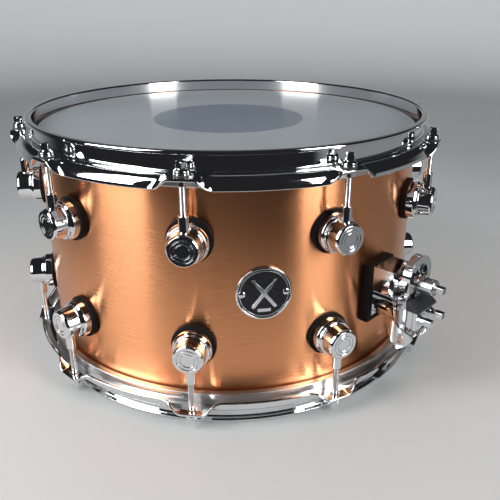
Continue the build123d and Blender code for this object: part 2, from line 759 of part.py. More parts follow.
def make_throwoff_lever():
    sketch_plane = Plane.YZ.offset(LEVER_BACK - 2)
    with BuildPart() as lever:
        side_profile(LEVER_SIDE, RING_R)
        with BuildSketch(sketch_plane):
            flared_outline(PIVOT_Z)
            with Locations((0, RING_Z)):
                Circle(RING_R)
        extrude(amount=LEVER_DEPTH, mode=Mode.INTERSECT)
        with BuildSketch(sketch_plane):
            with Locations((0, (SLOT_LOW + SLOT_HIGH) / 2)):
                SlotCenterToCenter(SLOT_HIGH - SLOT_LOW, 2 * SLOT_HALF, rotation=90)
            with Locations((0, HOLE_Z)):
                Circle(HOLE_R)
        extrude(amount=LEVER_DEPTH, mode=Mode.SUBTRACT)
        with BuildSketch(Plane.YZ.offset(LEVER_BACK + CAM_END_GAP - 0.1)):
            with Locations((0, KNOB_Z)):
                Rectangle(2 * SLOT_HALF + 1, YOKE_HEIGHT)
            with Locations((CAM_OFFSET / 2, KNOB_Z)):
                SlotOverall(2 * (CAM_R + CAM_OFFSET + YOKE_GAP), 2 * (CAM_R + YOKE_GAP), mode=Mode.SUBTRACT)
        extrude(amount=YOKE_T)
        for side in (-1, 1):
            with BuildSketch(Plane.XZ.offset(-side * TONGUE_IN)):
                Polygon(*TONGUE_SIDE, align=None)
            extrude(amount=-side * (TONGUE_OUT - TONGUE_IN))
        cross_pin(PIVOT_X, PIVOT_Z, PIVOT_TIP_R + RUNNING_GAP, TONGUE_IN, TONGUE_OUT, Mode.SUBTRACT)
    save(lever, "throwoff_lever")


def make_throwoff_slide():
    """The block that slides on the lever, with its arm behind the knob, and its black cover."""
    stem_front = SLIDE_BACK + ARM_STEM_T
    with BuildPart() as slide_block:
        block(SLIDE_BACK, BLOCK_FACE, SLIDE_HALF, SLIDE_LOW, COVER_LOW)
        block(SLIDE_BACK, stem_front, ARM_HALF, COVER_LOW, ARM_TURN_Z)
        block(ARM_BACK, stem_front, ARM_HALF, ARM_FOOT_Z, ARM_TURN_Z)
        with BuildSketch(Plane.YZ.offset(ARM_BACK)):
            with Locations((0, KNOB_Z)):
                Circle(ARM_EYE_R)
            with Locations((0, ARM_FOOT_Z)):
                Rectangle(2 * ARM_HALF, KNOB_Z - ARM_FOOT_Z, align=(Align.CENTER, Align.MIN))
        extrude(amount=ARM_T)
        level_pin(ARM_BACK, ARM_BACK + ARM_T, KNOB_Z, SPINDLE_R + RUNNING_GAP, Mode.SUBTRACT)
        for side in (-1, 1):
            level_pin(SLIDE_BACK + 0.5, BLOCK_FACE, CLAMP_SCREW_Z, CLAMP_SCREW_R, Mode.SUBTRACT,
                      side * CLAMP_SCREW_Y)
    save(slide_block, "throwoff_slide_block")

    with BuildPart() as cover:
        side_profile(COVER_SIDE, COVER_HALF)
        block(SLIDE_BACK, stem_front, ARM_HALF, COVER_LOW, COVER_BACK_TOP, Mode.SUBTRACT)
    save(cover, "throwoff_block_cover")


def make_throwoff_clamp():
    with BuildPart() as clamp_plate:
        block(BLOCK_FACE + STRAP_T, PLATE_FRONT, SLIDE_HALF, PLATE_LOW, PLATE_HIGH)
        chamfer(clamp_plate.edges().filter_by(Axis.Y).group_by(Axis.X)[-1], 0.8)
        for side in (-1, 1):
            level_pin(BLOCK_FACE, PLATE_FRONT + 1, CLAMP_SCREW_Z, CLAMP_SCREW_R, Mode.SUBTRACT,
                      side * CLAMP_SCREW_Y)
    save(clamp_plate, "throwoff_clamp_plate")

    neck_end = PLATE_FRONT + CLAMP_NECK_END
    with BuildPart() as clamp_screws:
        for side in (-1, 1):
            y = side * CLAMP_SCREW_Y
            level_pin(SLIDE_BACK + 0.5, PLATE_FRONT, CLAMP_SCREW_Z, CLAMP_SCREW_R, Mode.ADD, y)
            level_pin(PLATE_FRONT, PLATE_FRONT + CLAMP_FLANGE_T, CLAMP_SCREW_Z, CLAMP_FLANGE_R, Mode.ADD, y)
            level_pin(PLATE_FRONT + CLAMP_FLANGE_T, neck_end, CLAMP_SCREW_Z, CLAMP_NECK_R, Mode.ADD, y)
            square_drive(neck_end, y, CLAMP_SCREW_Z, SQUARE_LENGTH)
    save(clamp_screws, "throwoff_clamp_screws")


def make_tension_knob():
    cam_front = ARM_BACK - CAM_END_GAP
    with BuildPart() as knob:
        level_pin(cam_front, KNOB_BACK, KNOB_Z, SPINDLE_R)
        level_pin(LEVER_BACK + 0.2, cam_front, KNOB_Z, CAM_R, Mode.ADD, CAM_OFFSET)
        level_pin(ARM_BACK + ARM_T + 0.2, KNOB_BACK, KNOB_Z, SPINDLE_COLLAR_R)
        level_pin(KNOB_BACK, KNOB_FRONT, KNOB_Z, KNOB_R)
        level_pin(KNOB_FRONT, KNOB_FRONT + 1, KNOB_Z, KNOB_STEP_R)
        square_drive(KNOB_FRONT + 1, 0, KNOB_Z, SQUARE_LENGTH)
        knob_rims = knob.edges().filter_by(GeomType.CIRCLE).filter_by(lambda e: abs(e.radius - KNOB_R) < 0.01)
        chamfer(knob_rims, 0.6)
    save(knob, "throwoff_tension_knob")


# ---- Butt plate ----
BUTT_HALF = 14.0
BUTT_LOW = 56.0
BUTT_HIGH = 98.0
BUTT_PAD_RIM = 2.0          # how far the rubber shows below and above the butt plate
BUTT_PAD_HALF = BUTT_HALF + 1
BUTT_CORNER = 4.0
BUTT_FACE = 196.0
BUTT_CLAMP_Z = 72.0
BUTT_CLAMP_HALF = 12.5
BUTT_CLAMP_LOW = 62.0
BUTT_CLAMP_HIGH = 82.0
BUTT_CLAMP_T = 3.4
BUTT_LEDGE_T = 3.0
BUTT_LEDGE_LOW = 84.0
BUTT_LEDGE_HIGH = 96.0
BUTT_SCREW_END = 188.4
BUTT_THREAD = 6.0           # how deep the clamp screws go into the butt plate


def make_butt():
    with BuildPart() as gasket:
        block(-BASE_BACK, -SHELL_IN, BUTT_PAD_HALF, BUTT_LOW - BUTT_PAD_RIM, BUTT_HIGH + BUTT_PAD_RIM)
        drum_cylinder(SHELL_R, Mode.SUBTRACT)
        for z in BUTT_SCREWS_Z:
            level_pin(-BASE_BACK, -SHELL_IN, z, SCREW_HOLE_R, Mode.SUBTRACT)
    save(gasket, "butt_gasket")

    with BuildPart() as base:
        block(-BUTT_FACE, -BASE_BACK, BUTT_HALF, BUTT_LOW, BUTT_HIGH)
        fillet(base.edges().filter_by(Axis.X), BUTT_CORNER)
        block(-BUTT_FACE - BUTT_LEDGE_T, -BUTT_FACE, BUTT_CLAMP_HALF, BUTT_LEDGE_LOW, BUTT_LEDGE_HIGH)
        for z in BUTT_SCREWS_Z:
            level_pin(-BUTT_SCREW_END, -BASE_BACK, z, SCREW_R, Mode.SUBTRACT)
        for side in (-1, 1):
            level_pin(-BUTT_FACE, -BUTT_FACE + BUTT_THREAD, BUTT_CLAMP_Z, CLAMP_SCREW_R,
                      Mode.SUBTRACT, side * CLAMP_SCREW_Y)
    save(base, "butt_base")

    plate_back = BUTT_FACE + STRAP_T
    plate_front = plate_back + BUTT_CLAMP_T
    with BuildPart() as clamp_plate:
        block(-plate_front, -plate_back, BUTT_CLAMP_HALF, BUTT_CLAMP_LOW, BUTT_CLAMP_HIGH)
        for side in (-1, 1):
            level_pin(-plate_front - 1, -plate_back, BUTT_CLAMP_Z, CLAMP_SCREW_R,
                      Mode.SUBTRACT, side * CLAMP_SCREW_Y)
    save(clamp_plate, "butt_clamp_plate")

    with BuildPart() as clamp_screws:
        for side in (-1, 1):
            y = side * CLAMP_SCREW_Y
            flange_front = plate_front + CLAMP_FLANGE_T
            level_pin(-plate_front, -BUTT_FACE + BUTT_THREAD, BUTT_CLAMP_Z, CLAMP_SCREW_R, Mode.ADD, y)
            level_pin(-flange_front, -plate_front, BUTT_CLAMP_Z, CLAMP_FLANGE_R, Mode.ADD, y)
            square_drive(-flange_front, y, BUTT_CLAMP_Z, -SQUARE_LENGTH)
    save(clamp_screws, "butt_clamp_screws")


# ---- Snares ----
STRAP_START_R = WIRE_HALF_LENGTH + 3
STRAP_TURN_R = 193.6        # the straps leave the hoop's gates here
STRAP_OUT_R = 200.0
STRAP_OUT_Z = 21.5
THROW_STRAP_LOW = 72.5      # a strap lies flat in its clamp between these heights
THROW_STRAP_HIGH = 89.5
BUTT_STRAP_LOW = 62.0
BUTT_STRAP_HIGH = 81.5


def make_strap(name, points, radii):
    """A flat plastic strap: a thin outline in the X-Z plane, as wide as the strap."""
    with BuildPart() as strap:
        with BuildSketch(Plane.XZ):
            with BuildLine():
                FilletPolyline(*points, radius=radii)
                offset(amount=STRAP_T, side=Side.LEFT)
            make_face()
        extrude(amount=STRAP_HALF, both=True)
    save(strap, name)


def make_snares():
    with BuildPart() as wires:
        with BuildSketch(Plane.YZ.offset(-WIRE_HALF_LENGTH)):
            with Locations((0, WIRE_Z)):
                with GridLocations(WIRE_PITCH, 1, WIRES, 1):
                    Circle(WIRE_R)
        extrude(amount=2 * WIRE_HALF_LENGTH)
    save(wires, "snare_wires")

    plate_low = STRAP_Z + STRAP_T / 2
    with BuildPart() as end_plates:
        for side in (-1, 1):
            centre = side * (WIRE_HALF_LENGTH + END_PLATE_LENGTH / 2)
            with BuildSketch(Plane.XY.offset(plate_low)):
                with Locations((centre, 0)):
                    RectangleRounded(END_PLATE_LENGTH, END_PLATE_WIDTH, 1.5)
            extrude(amount=END_PLATE_T)
    save(end_plates, "snare_end_plates")

    low = STRAP_Z - STRAP_T / 2
    front = BLOCK_FACE + STRAP_T
    make_strap(
        "throwoff_strap",
        ((STRAP_START_R, low), (STRAP_TURN_R, low), (STRAP_OUT_R, STRAP_OUT_Z), (front, THROW_STRAP_LOW),
         (front, THROW_STRAP_HIGH)),
        [3.0, 5.0, 6.0],
    )
    back = -BUTT_FACE - STRAP_T
    make_strap(
        "butt_strap",
        ((back, BUTT_STRAP_HIGH), (back, BUTT_STRAP_LOW), (-STRAP_OUT_R, STRAP_OUT_Z), (-STRAP_TURN_R, low),
         (-STRAP_START_R, low)),
        [6.0, 5.0, 3.0],
    )


os.makedirs("parts", exist_ok=True)
make_shell()
make_badge()
make_vent()
make_heads()
make_hoops()
make_lugs()
make_shell_fasteners()
make_rods()
make_throwoff_gasket()
make_throwoff_base()
make_throwoff_lever()
make_throwoff_slide()
make_throwoff_clamp()
make_tension_knob()
make_butt()
make_snares()
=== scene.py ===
"""Looks for the snare drum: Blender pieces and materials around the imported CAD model."""

import math

import bmesh
import bpy
import numpy as np
from mathutils import Matrix, Vector


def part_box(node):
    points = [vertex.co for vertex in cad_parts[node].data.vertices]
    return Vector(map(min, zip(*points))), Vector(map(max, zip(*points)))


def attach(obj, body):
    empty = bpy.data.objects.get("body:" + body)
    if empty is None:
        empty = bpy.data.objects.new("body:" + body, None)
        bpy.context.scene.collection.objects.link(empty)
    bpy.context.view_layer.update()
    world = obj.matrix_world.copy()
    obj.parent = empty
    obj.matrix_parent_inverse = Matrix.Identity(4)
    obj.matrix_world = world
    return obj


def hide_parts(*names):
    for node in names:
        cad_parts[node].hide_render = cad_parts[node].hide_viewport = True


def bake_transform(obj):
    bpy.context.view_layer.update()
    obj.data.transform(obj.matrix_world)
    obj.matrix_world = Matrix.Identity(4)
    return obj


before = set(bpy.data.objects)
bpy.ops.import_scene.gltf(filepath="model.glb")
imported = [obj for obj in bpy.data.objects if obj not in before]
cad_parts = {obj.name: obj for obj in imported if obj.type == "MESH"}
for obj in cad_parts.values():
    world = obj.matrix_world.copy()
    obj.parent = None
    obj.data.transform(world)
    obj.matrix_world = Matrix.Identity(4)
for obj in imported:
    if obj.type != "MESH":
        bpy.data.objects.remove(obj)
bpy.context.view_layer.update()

MM = 0.001
FULL_TURN = 2 * math.pi
QUARTER_TURN = math.pi / 2
LUG_COUNT = 10
LUG_STEP = FULL_TURN / LUG_COUNT
SIDES = ("top", "bottom")
WALL_DISTANCE = 2.6         # from the drum's axis to the backdrop, in metres


# ---- Measures read from the frame, in millimetres ----
def box_mm(node):
    low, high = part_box(node)
    return np.array(low) / MM, np.array(high) / MM


def middle(node):
    low, high = box_mm(node)
    return (low + high) / 2


def angle_of(node):
    x, y, _ = middle(node)
    return math.atan2(y, x)


def rod_places(side):
    return [middle(f"{side}_rod_{i:02d}") for i in range(1, LUG_COUNT + 1)]


HEIGHT = box_mm("top_hoop")[1][2]
MID_Z = HEIGHT / 2
SHELF_Z = HEIGHT - 15.3     # the upper face of the top hoop's shelf, where the washers lie
SHELL_R = box_mm("shell")[1][0]
SHELL_LOW, SHELL_HIGH = box_mm("shell")[0][2], box_mm("shell")[1][2]
FILM_TOP = box_mm("batter_film")[1][2]
ROD_PLACES = {side: rod_places(side) for side in SIDES}
FIRST_LUG = angle_of("top_rod_01")
LUG_ANGLES = [FIRST_LUG + i * LUG_STEP for i in range(LUG_COUNT)]
LUG_Z = {side: middle(f"{side}_lugs")[2] for side in SIDES}
GASKET_THICK = 3
BADGE_ANGLE = angle_of("badge_plate")
VENT_ANGLE = angle_of("vent_grommet")


# ---- Mesh making: a mesh is (points, faces), in millimetres until it becomes an object ----
def rounded(points, radii, steps, closed=True):
    """A polygon with its corners rounded, as an array of points."""
    points = [np.array(p, float) for p in points]
    if not hasattr(radii, "__len__"):
        radii = [radii] * len(points)
    out = []
    count = len(points)
    for i, corner in enumerate(points):
        at_end = not closed and i in (0, count - 1)
        if radii[i] <= 0 or at_end:
            out.append(corner)
            continue
        before = points[i - 1] - corner
        after = points[(i + 1) % count] - corner
        len_before, len_after = np.linalg.norm(before), np.linalg.norm(after)
        before, after = before / len_before, after / len_after
        half = math.acos(max(-1.0, min(1.0, float(before @ after)))) / 2
        almost_half = 0.49
        reach = min(radii[i] / math.tan(half), almost_half * len_before, almost_half * len_after)
        radius = reach * math.tan(half)
        bisector = before + after
        centre = corner + bisector / np.linalg.norm(bisector) * radius / math.sin(half)
        first, last = corner + before * reach - centre, corner + after * reach - centre
        start = math.atan2(first[1], first[0])
        sweep = (math.atan2(last[1], last[0]) - start + math.pi) % FULL_TURN - math.pi
        for k in range(steps + 1):
            a = start + sweep * k / steps
            out.append(centre + radius * np.array([math.cos(a), math.sin(a)]))
    return np.array(out)


def refined(outline, longest):
    """Adds points so that no run of a closed outline is longer than this."""
    outline = np.asarray(outline, float)
    return np.array(divided(outline, np.roll(outline, -1, 0), longest))


def divided(starts, ends, longest):
    """Points along runs, each run without its end."""
    out = []
    for a, b in zip(starts, ends):
        parts = max(1, math.ceil(float(np.linalg.norm(b - a)) / longest))
        out += [a + (b - a) * k / parts for k in range(parts)]
    return out


def grid_faces(rows, columns, wrap_rows, wrap_columns):
    faces = []
    for i in range(rows if wrap_rows else rows - 1):
        k = (i + 1) % rows
        for j in range(columns if wrap_columns else columns - 1):
            m = (j + 1) % columns
            faces.append((i * columns + j, i * columns + m, k * columns + m, k * columns + j))
    return faces


def lathe(profile, steps, closed=True):
    """Turns a profile of (radius, height) round the Z axis."""
    profile = np.asarray(profile, float)
    turn = np.arange(steps) * FULL_TURN / steps
    points = np.zeros((steps, len(profile), 3))
    points[:, :, 0] = np.outer(np.cos(turn), profile[:, 0])
    points[:, :, 1] = np.outer(np.sin(turn), profile[:, 0])
    points[:, :, 2] = profile[:, 1]
    return points.reshape(-1, 3), grid_faces(steps, len(profile), True, closed)


def loft(sections):
    """Joins sections with the same number of points; the first and the last are closed by a face."""
    rows, columns = len(sections), len(sections[0])
    points = np.concatenate([np.asarray(s, float) for s in sections])
    faces = grid_faces(rows, columns, False, True)
    faces.append(tuple(range(columns)))
    faces.append(tuple(range((rows - 1) * columns, rows * columns)))
    return points, faces


def plate(outline, low, high, edge, edge_steps):
    """A flat outline (x, y) given a thickness along Z, with rounded edges."""
    outline = np.asarray(outline, float)
    normals = outline_normals(outline)
    bends = [QUARTER_TURN * k / edge_steps for k in range(edge_steps + 1)]
    sections = []
    for a in bends:
        inset, rise = edge * (1 - math.sin(a)), edge * (1 - math.cos(a))
        sections.append(at_height(outline - normals * inset, low + rise))
    for a in bends[::-1]:
        inset, rise = edge * (1 - math.sin(a)), edge * (1 - math.cos(a))
        sections.append(at_height(outline - normals * inset, high - rise))
    return loft(sections)


def outline_normals(outline):
    """Outward normals of a closed outline."""
    along = np.roll(outline, -1, 0) - np.roll(outline, 1, 0)
    along /= np.linalg.norm(along, axis=1)[:, None]
    normals = np.stack([along[:, 1], -along[:, 0]], 1)
    area = np.sum(outline[:, 0] * np.roll(outline[:, 1], -1) - np.roll(outline[:, 0], -1) * outline[:, 1])
    return normals if area > 0 else -normals


def at_height(outline, z):
    return np.concatenate([outline, np.full((len(outline), 1), z)], 1)


def joined(*meshes):
    points, faces, start = [], [], 0
    for mesh_points, mesh_faces in meshes:
        points.append(mesh_points)
        faces += [tuple(i + start for i in face) for face in mesh_faces]
        start += len(mesh_points)
    return np.concatenate(points), faces


def moved(mesh, matrix):
    points, faces = mesh
    m = np.array(matrix)
    return points @ m[:3, :3].T + m[:3, 3], faces


def shifted(mesh, x=0.0, y=0.0, z=0.0):
    return moved(mesh, Matrix.Translation((x, y, z)))


def outward(angle, z):
    """Local Z points away from the drum's axis, X runs round the drum and Y up."""
    turn = Matrix(((0, 0, 1, 0), (1, 0, 0, 0), (0, 1, 0, 0), (0, 0, 0, 1)))
    return Matrix.Translation((0, 0, z)) @ Matrix.Rotation(angle, 4, "Z") @ turn


def wrapped(mesh, angle, z):
    """Bends a flat mesh round the shell: X runs round it, Y up and Z outward from its surface."""
    points, faces = mesh
    turn = angle + points[:, 0] / SHELL_R
    out = SHELL_R + points[:, 2]
    return np.stack([out * np.cos(turn), out * np.sin(turn), z + points[:, 1]], 1), faces


def upside_down(mesh):
    points, faces = mesh
    return points * [1, 1, -1] + [0, 0, HEIGHT], faces


# ---- Objects ----
def make_object(name, mesh, material, weighted=True):
    points, faces = mesh
    data = bpy.data.meshes.new(name)
    data.from_pydata((points * MM).tolist(), [], faces)
    bm = bmesh.new()
    bm.from_mesh(data)
    bmesh.ops.remove_doubles(bm, verts=bm.verts, dist=1e-6)
    bmesh.ops.dissolve_degenerate(bm, dist=1e-7, edges=bm.edges)
    bmesh.ops.recalc_face_normals(bm, faces=bm.faces)
    bm.to_mesh(data)
    bm.free()
    data.shade_smooth()
    data.materials.append(material)
    obj = bpy.data.objects.new(name, data)
    bpy.context.scene.collection.objects.link(obj)
    if weighted:
        modifier = obj.modifiers.new("flat_faces", "WEIGHTED_NORMAL")
        modifier.mode = "FACE_AREA"
        modifier.weight = 50
        modifier.keep_sharp = False
    return obj


def piece(name, mesh, material, nodes, body="root"):
    """A piece of the drum that stands for CAD nodes."""
    obj = make_object(name, mesh, material)
    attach(obj, body)
    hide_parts(*nodes)
    return obj


def cut(obj, cutter_mesh):
    """Takes a closed mesh out of an object, before any of its modifiers."""
    cutter = make_object(obj.name + "_cutter", cutter_mesh, obj.data.materials[0], weighted=False)
    waiting = obj.modifiers[:]
    for modifier in waiting:
        modifier.show_viewport = False
    boolean = obj.modifiers.new("cut", "BOOLEAN")
    boolean.operation = "DIFFERENCE"
    boolean.solver = "EXACT"
    boolean.object = cutter
    graph = bpy.context.evaluated_depsgraph_get()
    result = bpy.data.meshes.new_from_object(obj.evaluated_get(graph))
    obj.modifiers.remove(boolean)
    for modifier in waiting:
        modifier.show_viewport = True
    obj.data = result
    bpy.data.objects.remove(cutter)


# ---- Node helpers: the first argument is the material, or the world, that owns the nodes ----
NOISE_LOW, NOISE_HIGH = 0.3, 0.7    # a noise keeps mostly between these


def new_material(name, base, metallic, roughness):
    material = bpy.data.materials.new(name)
    material.use_nodes = True
    shader = material.node_tree.nodes["Principled BSDF"]
    shader.inputs["Base Color"].default_value = (*base, 1)
    shader.inputs["Metallic"].default_value = metallic
    shader.inputs["Roughness"].default_value = roughness
    return material, shader


def add_node(owner, kind, **values):
    node = owner.node_tree.nodes.new(kind)
    for key, value in values.items():
        setattr(node, key, value)
    return node


def link(owner, source, target):
    owner.node_tree.links.new(source, target)


def combined(owner, operation, first, second):
    node = add_node(owner, "ShaderNodeMath", operation=operation)
    link(owner, first, node.inputs[0])
    link(owner, second, node.inputs[1])
    return node.outputs["Value"]


def noise(material, scale, detail=3.0, roughness=0.5, stretch=(1, 1, 1)):
    """A noise over object coordinates; a stretch above 1 packs it tighter along that axis."""
    place = add_node(material, "ShaderNodeTexCoord")
    mapping = add_node(material, "ShaderNodeMapping")
    mapping.inputs["Scale"].default_value = stretch
    texture = add_node(material, "ShaderNodeTexNoise")
    texture.inputs["Scale"].default_value = scale
    texture.inputs["Detail"].default_value = detail
    texture.inputs["Roughness"].default_value = roughness
    link(material, place.outputs["Object"], mapping.inputs["Vector"])
    link(material, mapping.outputs["Vector"], texture.inputs["Vector"])
    return texture.outputs["Fac"]


def spread(material, value, low, high, from_low=NOISE_LOW, from_high=NOISE_HIGH):
    """Maps a noise to a range of values."""
    node = add_node(material, "ShaderNodeMapRange")
    node.inputs["From Min"].default_value = from_low
    node.inputs["From Max"].default_value = from_high
    node.inputs["To Min"].default_value = low
    node.inputs["To Max"].default_value = high
    link(material, value, node.inputs["Value"])
    return node.outputs["Result"]


def vary_roughness(material, shader, value, low, high, from_low=NOISE_LOW, from_high=NOISE_HIGH):
    result = spread(material, value, low, high, from_low, from_high)
    link(material, result, shader.inputs["Roughness"])


def vary_colour(material, shader, value, dark, light):
    """Colours the surface between dark and light, by a noise."""
    ramp = add_node(material, "ShaderNodeValToRGB")
    stops = ((NOISE_LOW, dark), (NOISE_HIGH, light))
    for element, (position, colour) in zip(ramp.color_ramp.elements, stops):
        element.position = position
        element.color = (*colour, 1)
    link(material, value, ramp.inputs["Fac"])
    link(material, ramp.outputs["Color"], shader.inputs["Base Color"])


def bump(material, shader, height, strength, distance):
    node = add_node(material, "ShaderNodeBump")
    node.inputs["Strength"].default_value = strength
    node.inputs["Distance"].default_value = distance
    link(material, height, node.inputs["Height"])
    link(material, node.outputs["Normal"], shader.inputs["Normal"])


# ---- Materials ----
def copper():
    """Brushed copper, with its grain running round the shell."""
    material, shader = new_material("copper_brushed", (0.93, 0.41, 0.195), metallic=1.0, roughness=0.26)
    grain = noise(material, scale=60.0, detail=4.0, roughness=0.65, stretch=(0.35, 0.35, 60.0))
    patches = noise(material, scale=7.0, detail=2.0)
    streaks = noise(material, scale=30.0, detail=4.0, roughness=0.7, stretch=(0.2, 0.2, 30.0))
    vary_colour(material, shader, streaks, dark=(0.915, 0.395, 0.185), light=(0.935, 0.42, 0.20))
    fine = spread(material, grain, low=0.245, high=0.265)
    broad = spread(material, patches, low=-0.015, high=0.02)
    link(material, combined(material, "ADD", fine, broad), shader.inputs["Roughness"])
    bump(material, shader, grain, strength=0.03, distance=0.00001)
    shader.inputs["Anisotropic"].default_value = 0.95
    shader.inputs["Anisotropic Rotation"].default_value = 0.25
    tangent = add_node(material, "ShaderNodeTangent", direction_type="RADIAL", axis="Z")
    link(material, tangent.outputs["Tangent"], shader.inputs["Tangent"])
    return material


def chrome(name, base=(0.80, 0.81, 0.83), smooth=0.03, worn=0.09):
    """Mirror chrome with faint finger marks."""
    material, shader = new_material(name, base, metallic=1.0, roughness=smooth)
    marks = noise(material, scale=55.0, detail=4.0, roughness=0.6)
    vary_roughness(material, shader, marks, smooth, worn, from_low=0.45, from_high=0.75)
    tone = noise(material, scale=14.0, detail=2.0)
    vary_colour(material, shader, tone, dark=tuple(0.95 * c for c in base), light=base)
    ripple = noise(material, scale=90.0, detail=2.0)
    bump(material, shader, ripple, strength=0.04, distance=0.00004)
    return material


def rubber():
    material, shader = new_material("rubber_black", (0.005, 0.005, 0.006), metallic=0.0, roughness=0.6)
    shader.inputs["Specular IOR Level"].default_value = 0.12
    grain = noise(material, scale=900.0)
    vary_colour(material, shader, grain, dark=(0.004, 0.004, 0.005), light=(0.009, 0.009, 0.01))
    vary_roughness(material, shader, grain, low=0.5, high=0.7)
    bump(material, shader, grain, strength=0.25, distance=0.00008)
    return material


def film():
    """Grey satin polyester film, a little uneven where the light passes into it."""
    material, shader = new_material("film_satin", (0.28, 0.305, 0.33), metallic=0.0, roughness=0.38)
    shader.inputs["Specular IOR Level"].default_value = 0.5
    cloud = noise(material, scale=9.0, roughness=0.55)
    vary_colour(material, shader, cloud, dark=(0.265, 0.29, 0.315), light=(0.295, 0.322, 0.347))
    fine = noise(material, scale=1600.0, detail=2.0)
    vary_roughness(material, shader, fine, low=0.34, high=0.46)
    bump(material, shader, fine, strength=0.12, distance=0.00004)
    return material


def dot_film():
    material, shader = new_material("film_dot", (0.15, 0.185, 0.23), metallic=0.0, roughness=0.42)
    cloud = noise(material, scale=12.0, roughness=0.55)
    vary_colour(material, shader, cloud, dark=(0.14, 0.172, 0.215), light=(0.165, 0.198, 0.243))
    fine = noise(material, scale=1400.0, detail=2.0)
    vary_roughness(material, shader, fine, low=0.38, high=0.5)
    bump(material, shader, fine, strength=0.12, distance=0.00004)
    return material


def aluminium():
    material, shader = new_material("aluminium_satin", (0.72, 0.73, 0.74), metallic=1.0, roughness=0.34)
    grain = noise(material, scale=70.0, detail=4.0, roughness=0.6, stretch=(0.4, 0.4, 40.0))
    vary_roughness(material, shader, grain, low=0.26, high=0.42)
    vary_colour(material, shader, grain, dark=(0.66, 0.67, 0.68), light=(0.76, 0.77, 0.78))
    bump(material, shader, grain, strength=0.1, distance=0.00003)
    return material


def enamel():
    material, shader = new_material("enamel_black", (0.012, 0.012, 0.014), metallic=0.0, roughness=0.2)
    shader.inputs["Specular IOR Level"].default_value = 0.15
    fleck = noise(material, scale=500.0, detail=2.0)
    vary_colour(material, shader, fleck, dark=(0.009, 0.009, 0.011), light=(0.018, 0.018, 0.02))
    vary_roughness(material, shader, fleck, low=0.15, high=0.28)
    return material


def nylon():
    material, shader = new_material("nylon_black", (0.022, 0.022, 0.022), metallic=0.0, roughness=0.42)
    grain = noise(material, scale=1200.0, detail=2.0)
    vary_roughness(material, shader, grain, low=0.36, high=0.5)
    vary_colour(material, shader, grain, dark=(0.017, 0.017, 0.017), light=(0.03, 0.03, 0.03))
    return material


def steel(name="steel_zinc", base=(0.62, 0.63, 0.65), low=0.18, high=0.34):
    material, shader = new_material(name, base, metallic=1.0, roughness=low)
    grain = noise(material, scale=420.0, detail=4.0, roughness=0.6)
    vary_roughness(material, shader, grain, low, high)
    vary_colour(material, shader, grain, dark=base, light=tuple(min(1.0, 1.12 * c) for c in base))
    return material


def turned_steel():
    """Satin metal turned about the X axis, as on the tension knob."""
    material, shader = new_material("steel_turned", (0.62, 0.63, 0.65), metallic=1.0, roughness=0.22)
    grain = noise(material, scale=500.0, roughness=0.6, stretch=(6.0, 0.5, 0.5))
    vary_roughness(material, shader, grain, low=0.2, high=0.27)
    vary_colour(material, shader, grain, dark=(0.56, 0.57, 0.59), light=(0.68, 0.69, 0.71))
    bump(material, shader, grain, strength=0.06, distance=0.00001)
    return material


def black_coating():
    material, shader = new_material("coating_black", (0.02, 0.022, 0.026), metallic=0.0, roughness=0.32)
    grain = noise(material, scale=700.0)
    vary_roughness(material, shader, grain, low=0.26, high=0.4)
    vary_colour(material, shader, grain, dark=(0.016, 0.018, 0.021), light=(0.028, 0.03, 0.034))
    bump(material, shader, grain, strength=0.15, distance=0.00005)
    return material


def strap_film():
    material, shader = new_material("strap_polyester", (0.03, 0.03, 0.034), metallic=0.0, roughness=0.25)
    grain = noise(material, scale=240.0, stretch=(1, 8, 1))
    vary_roughness(material, shader, grain, low=0.2, high=0.36)
    vary_colour(material, shader, grain, dark=(0.024, 0.024, 0.028), light=(0.04, 0.04, 0.045))
    return material


def floor_painted_falloff():
    """Pale floor and backdrop with light painted into the colour: painted shade makes it a little darker and
    cooler some way off, and painted light makes it palest high on the wall.
    """
    material, shader = new_material("floor_pale_painted_falloff", (0.62, 0.62, 0.62), metallic=0.0, roughness=0.85)
    shader.inputs["Specular IOR Level"].default_value = 0.1
    place = add_node(material, "ShaderNodeTexCoord")
    distance = add_node(material, "ShaderNodeVectorMath", operation="LENGTH")
    link(material, place.outputs["Object"], distance.inputs[0])
    share = spread(material, distance.outputs["Value"], 0.0, 1.0, from_low=0.0, from_high=WALL_DISTANCE)
    ramp = add_node(material, "ShaderNodeValToRGB")
    ramp.color_ramp.interpolation = "EASE"
    # painted light falloff: painted shade darker and cooler away from the drum, then a painted highlight
    # palest high on the wall
    stops = ((0.16, (0.49, 0.495, 0.50)), (0.36, (0.375, 0.395, 0.41)), (0.60, (0.40, 0.42, 0.435)),
             (0.95, (0.90, 0.92, 0.93)))
    elements = ramp.color_ramp.elements
    while len(elements) < len(stops):
        elements.new(0.5)
    for element, (position, tone) in zip(elements, stops):
        element.position = position
        element.color = (*tone, 1)
    link(material, share, ramp.inputs["Fac"])
    link(material, ramp.outputs["Color"], shader.inputs["Base Color"])
    speckle = noise(material, scale=260.0, roughness=0.6)
    vary_roughness(material, shader, speckle, low=0.8, high=0.9)
    bump(material, shader, speckle, strength=0.2, distance=0.0002)
    return material


COPPER = copper()
HOOP_CHROME = chrome("chrome_hoop")
LUG_CHROME = chrome("chrome_lug")
ROD_CHROME = chrome("chrome_rod", base=(0.78, 0.79, 0.81), smooth=0.06, worn=0.12)
STRAINER_CHROME = chrome("chrome_strainer", smooth=0.05, worn=0.12)
BADGE_SILVER = chrome("silver_badge", base=(0.76, 0.77, 0.78), smooth=0.12, worn=0.2)
RUBBER = rubber()
FILM = film()
DOT_FILM = dot_film()
ALUMINIUM = aluminium()
ENAMEL = enamel()
NYLON = nylon()
ZINC = steel()
WASHER_STEEL = steel("steel_washer", base=(0.72, 0.73, 0.75), low=0.1, high=0.2)
WIRE_STEEL = steel("steel_wire", base=(0.6, 0.61, 0.62), low=0.2, high=0.32)
TURNED = turned_steel()
BLACK_COATING = black_coating()
STRAP_FILM = strap_film()
FLOOR = floor_painted_falloff()


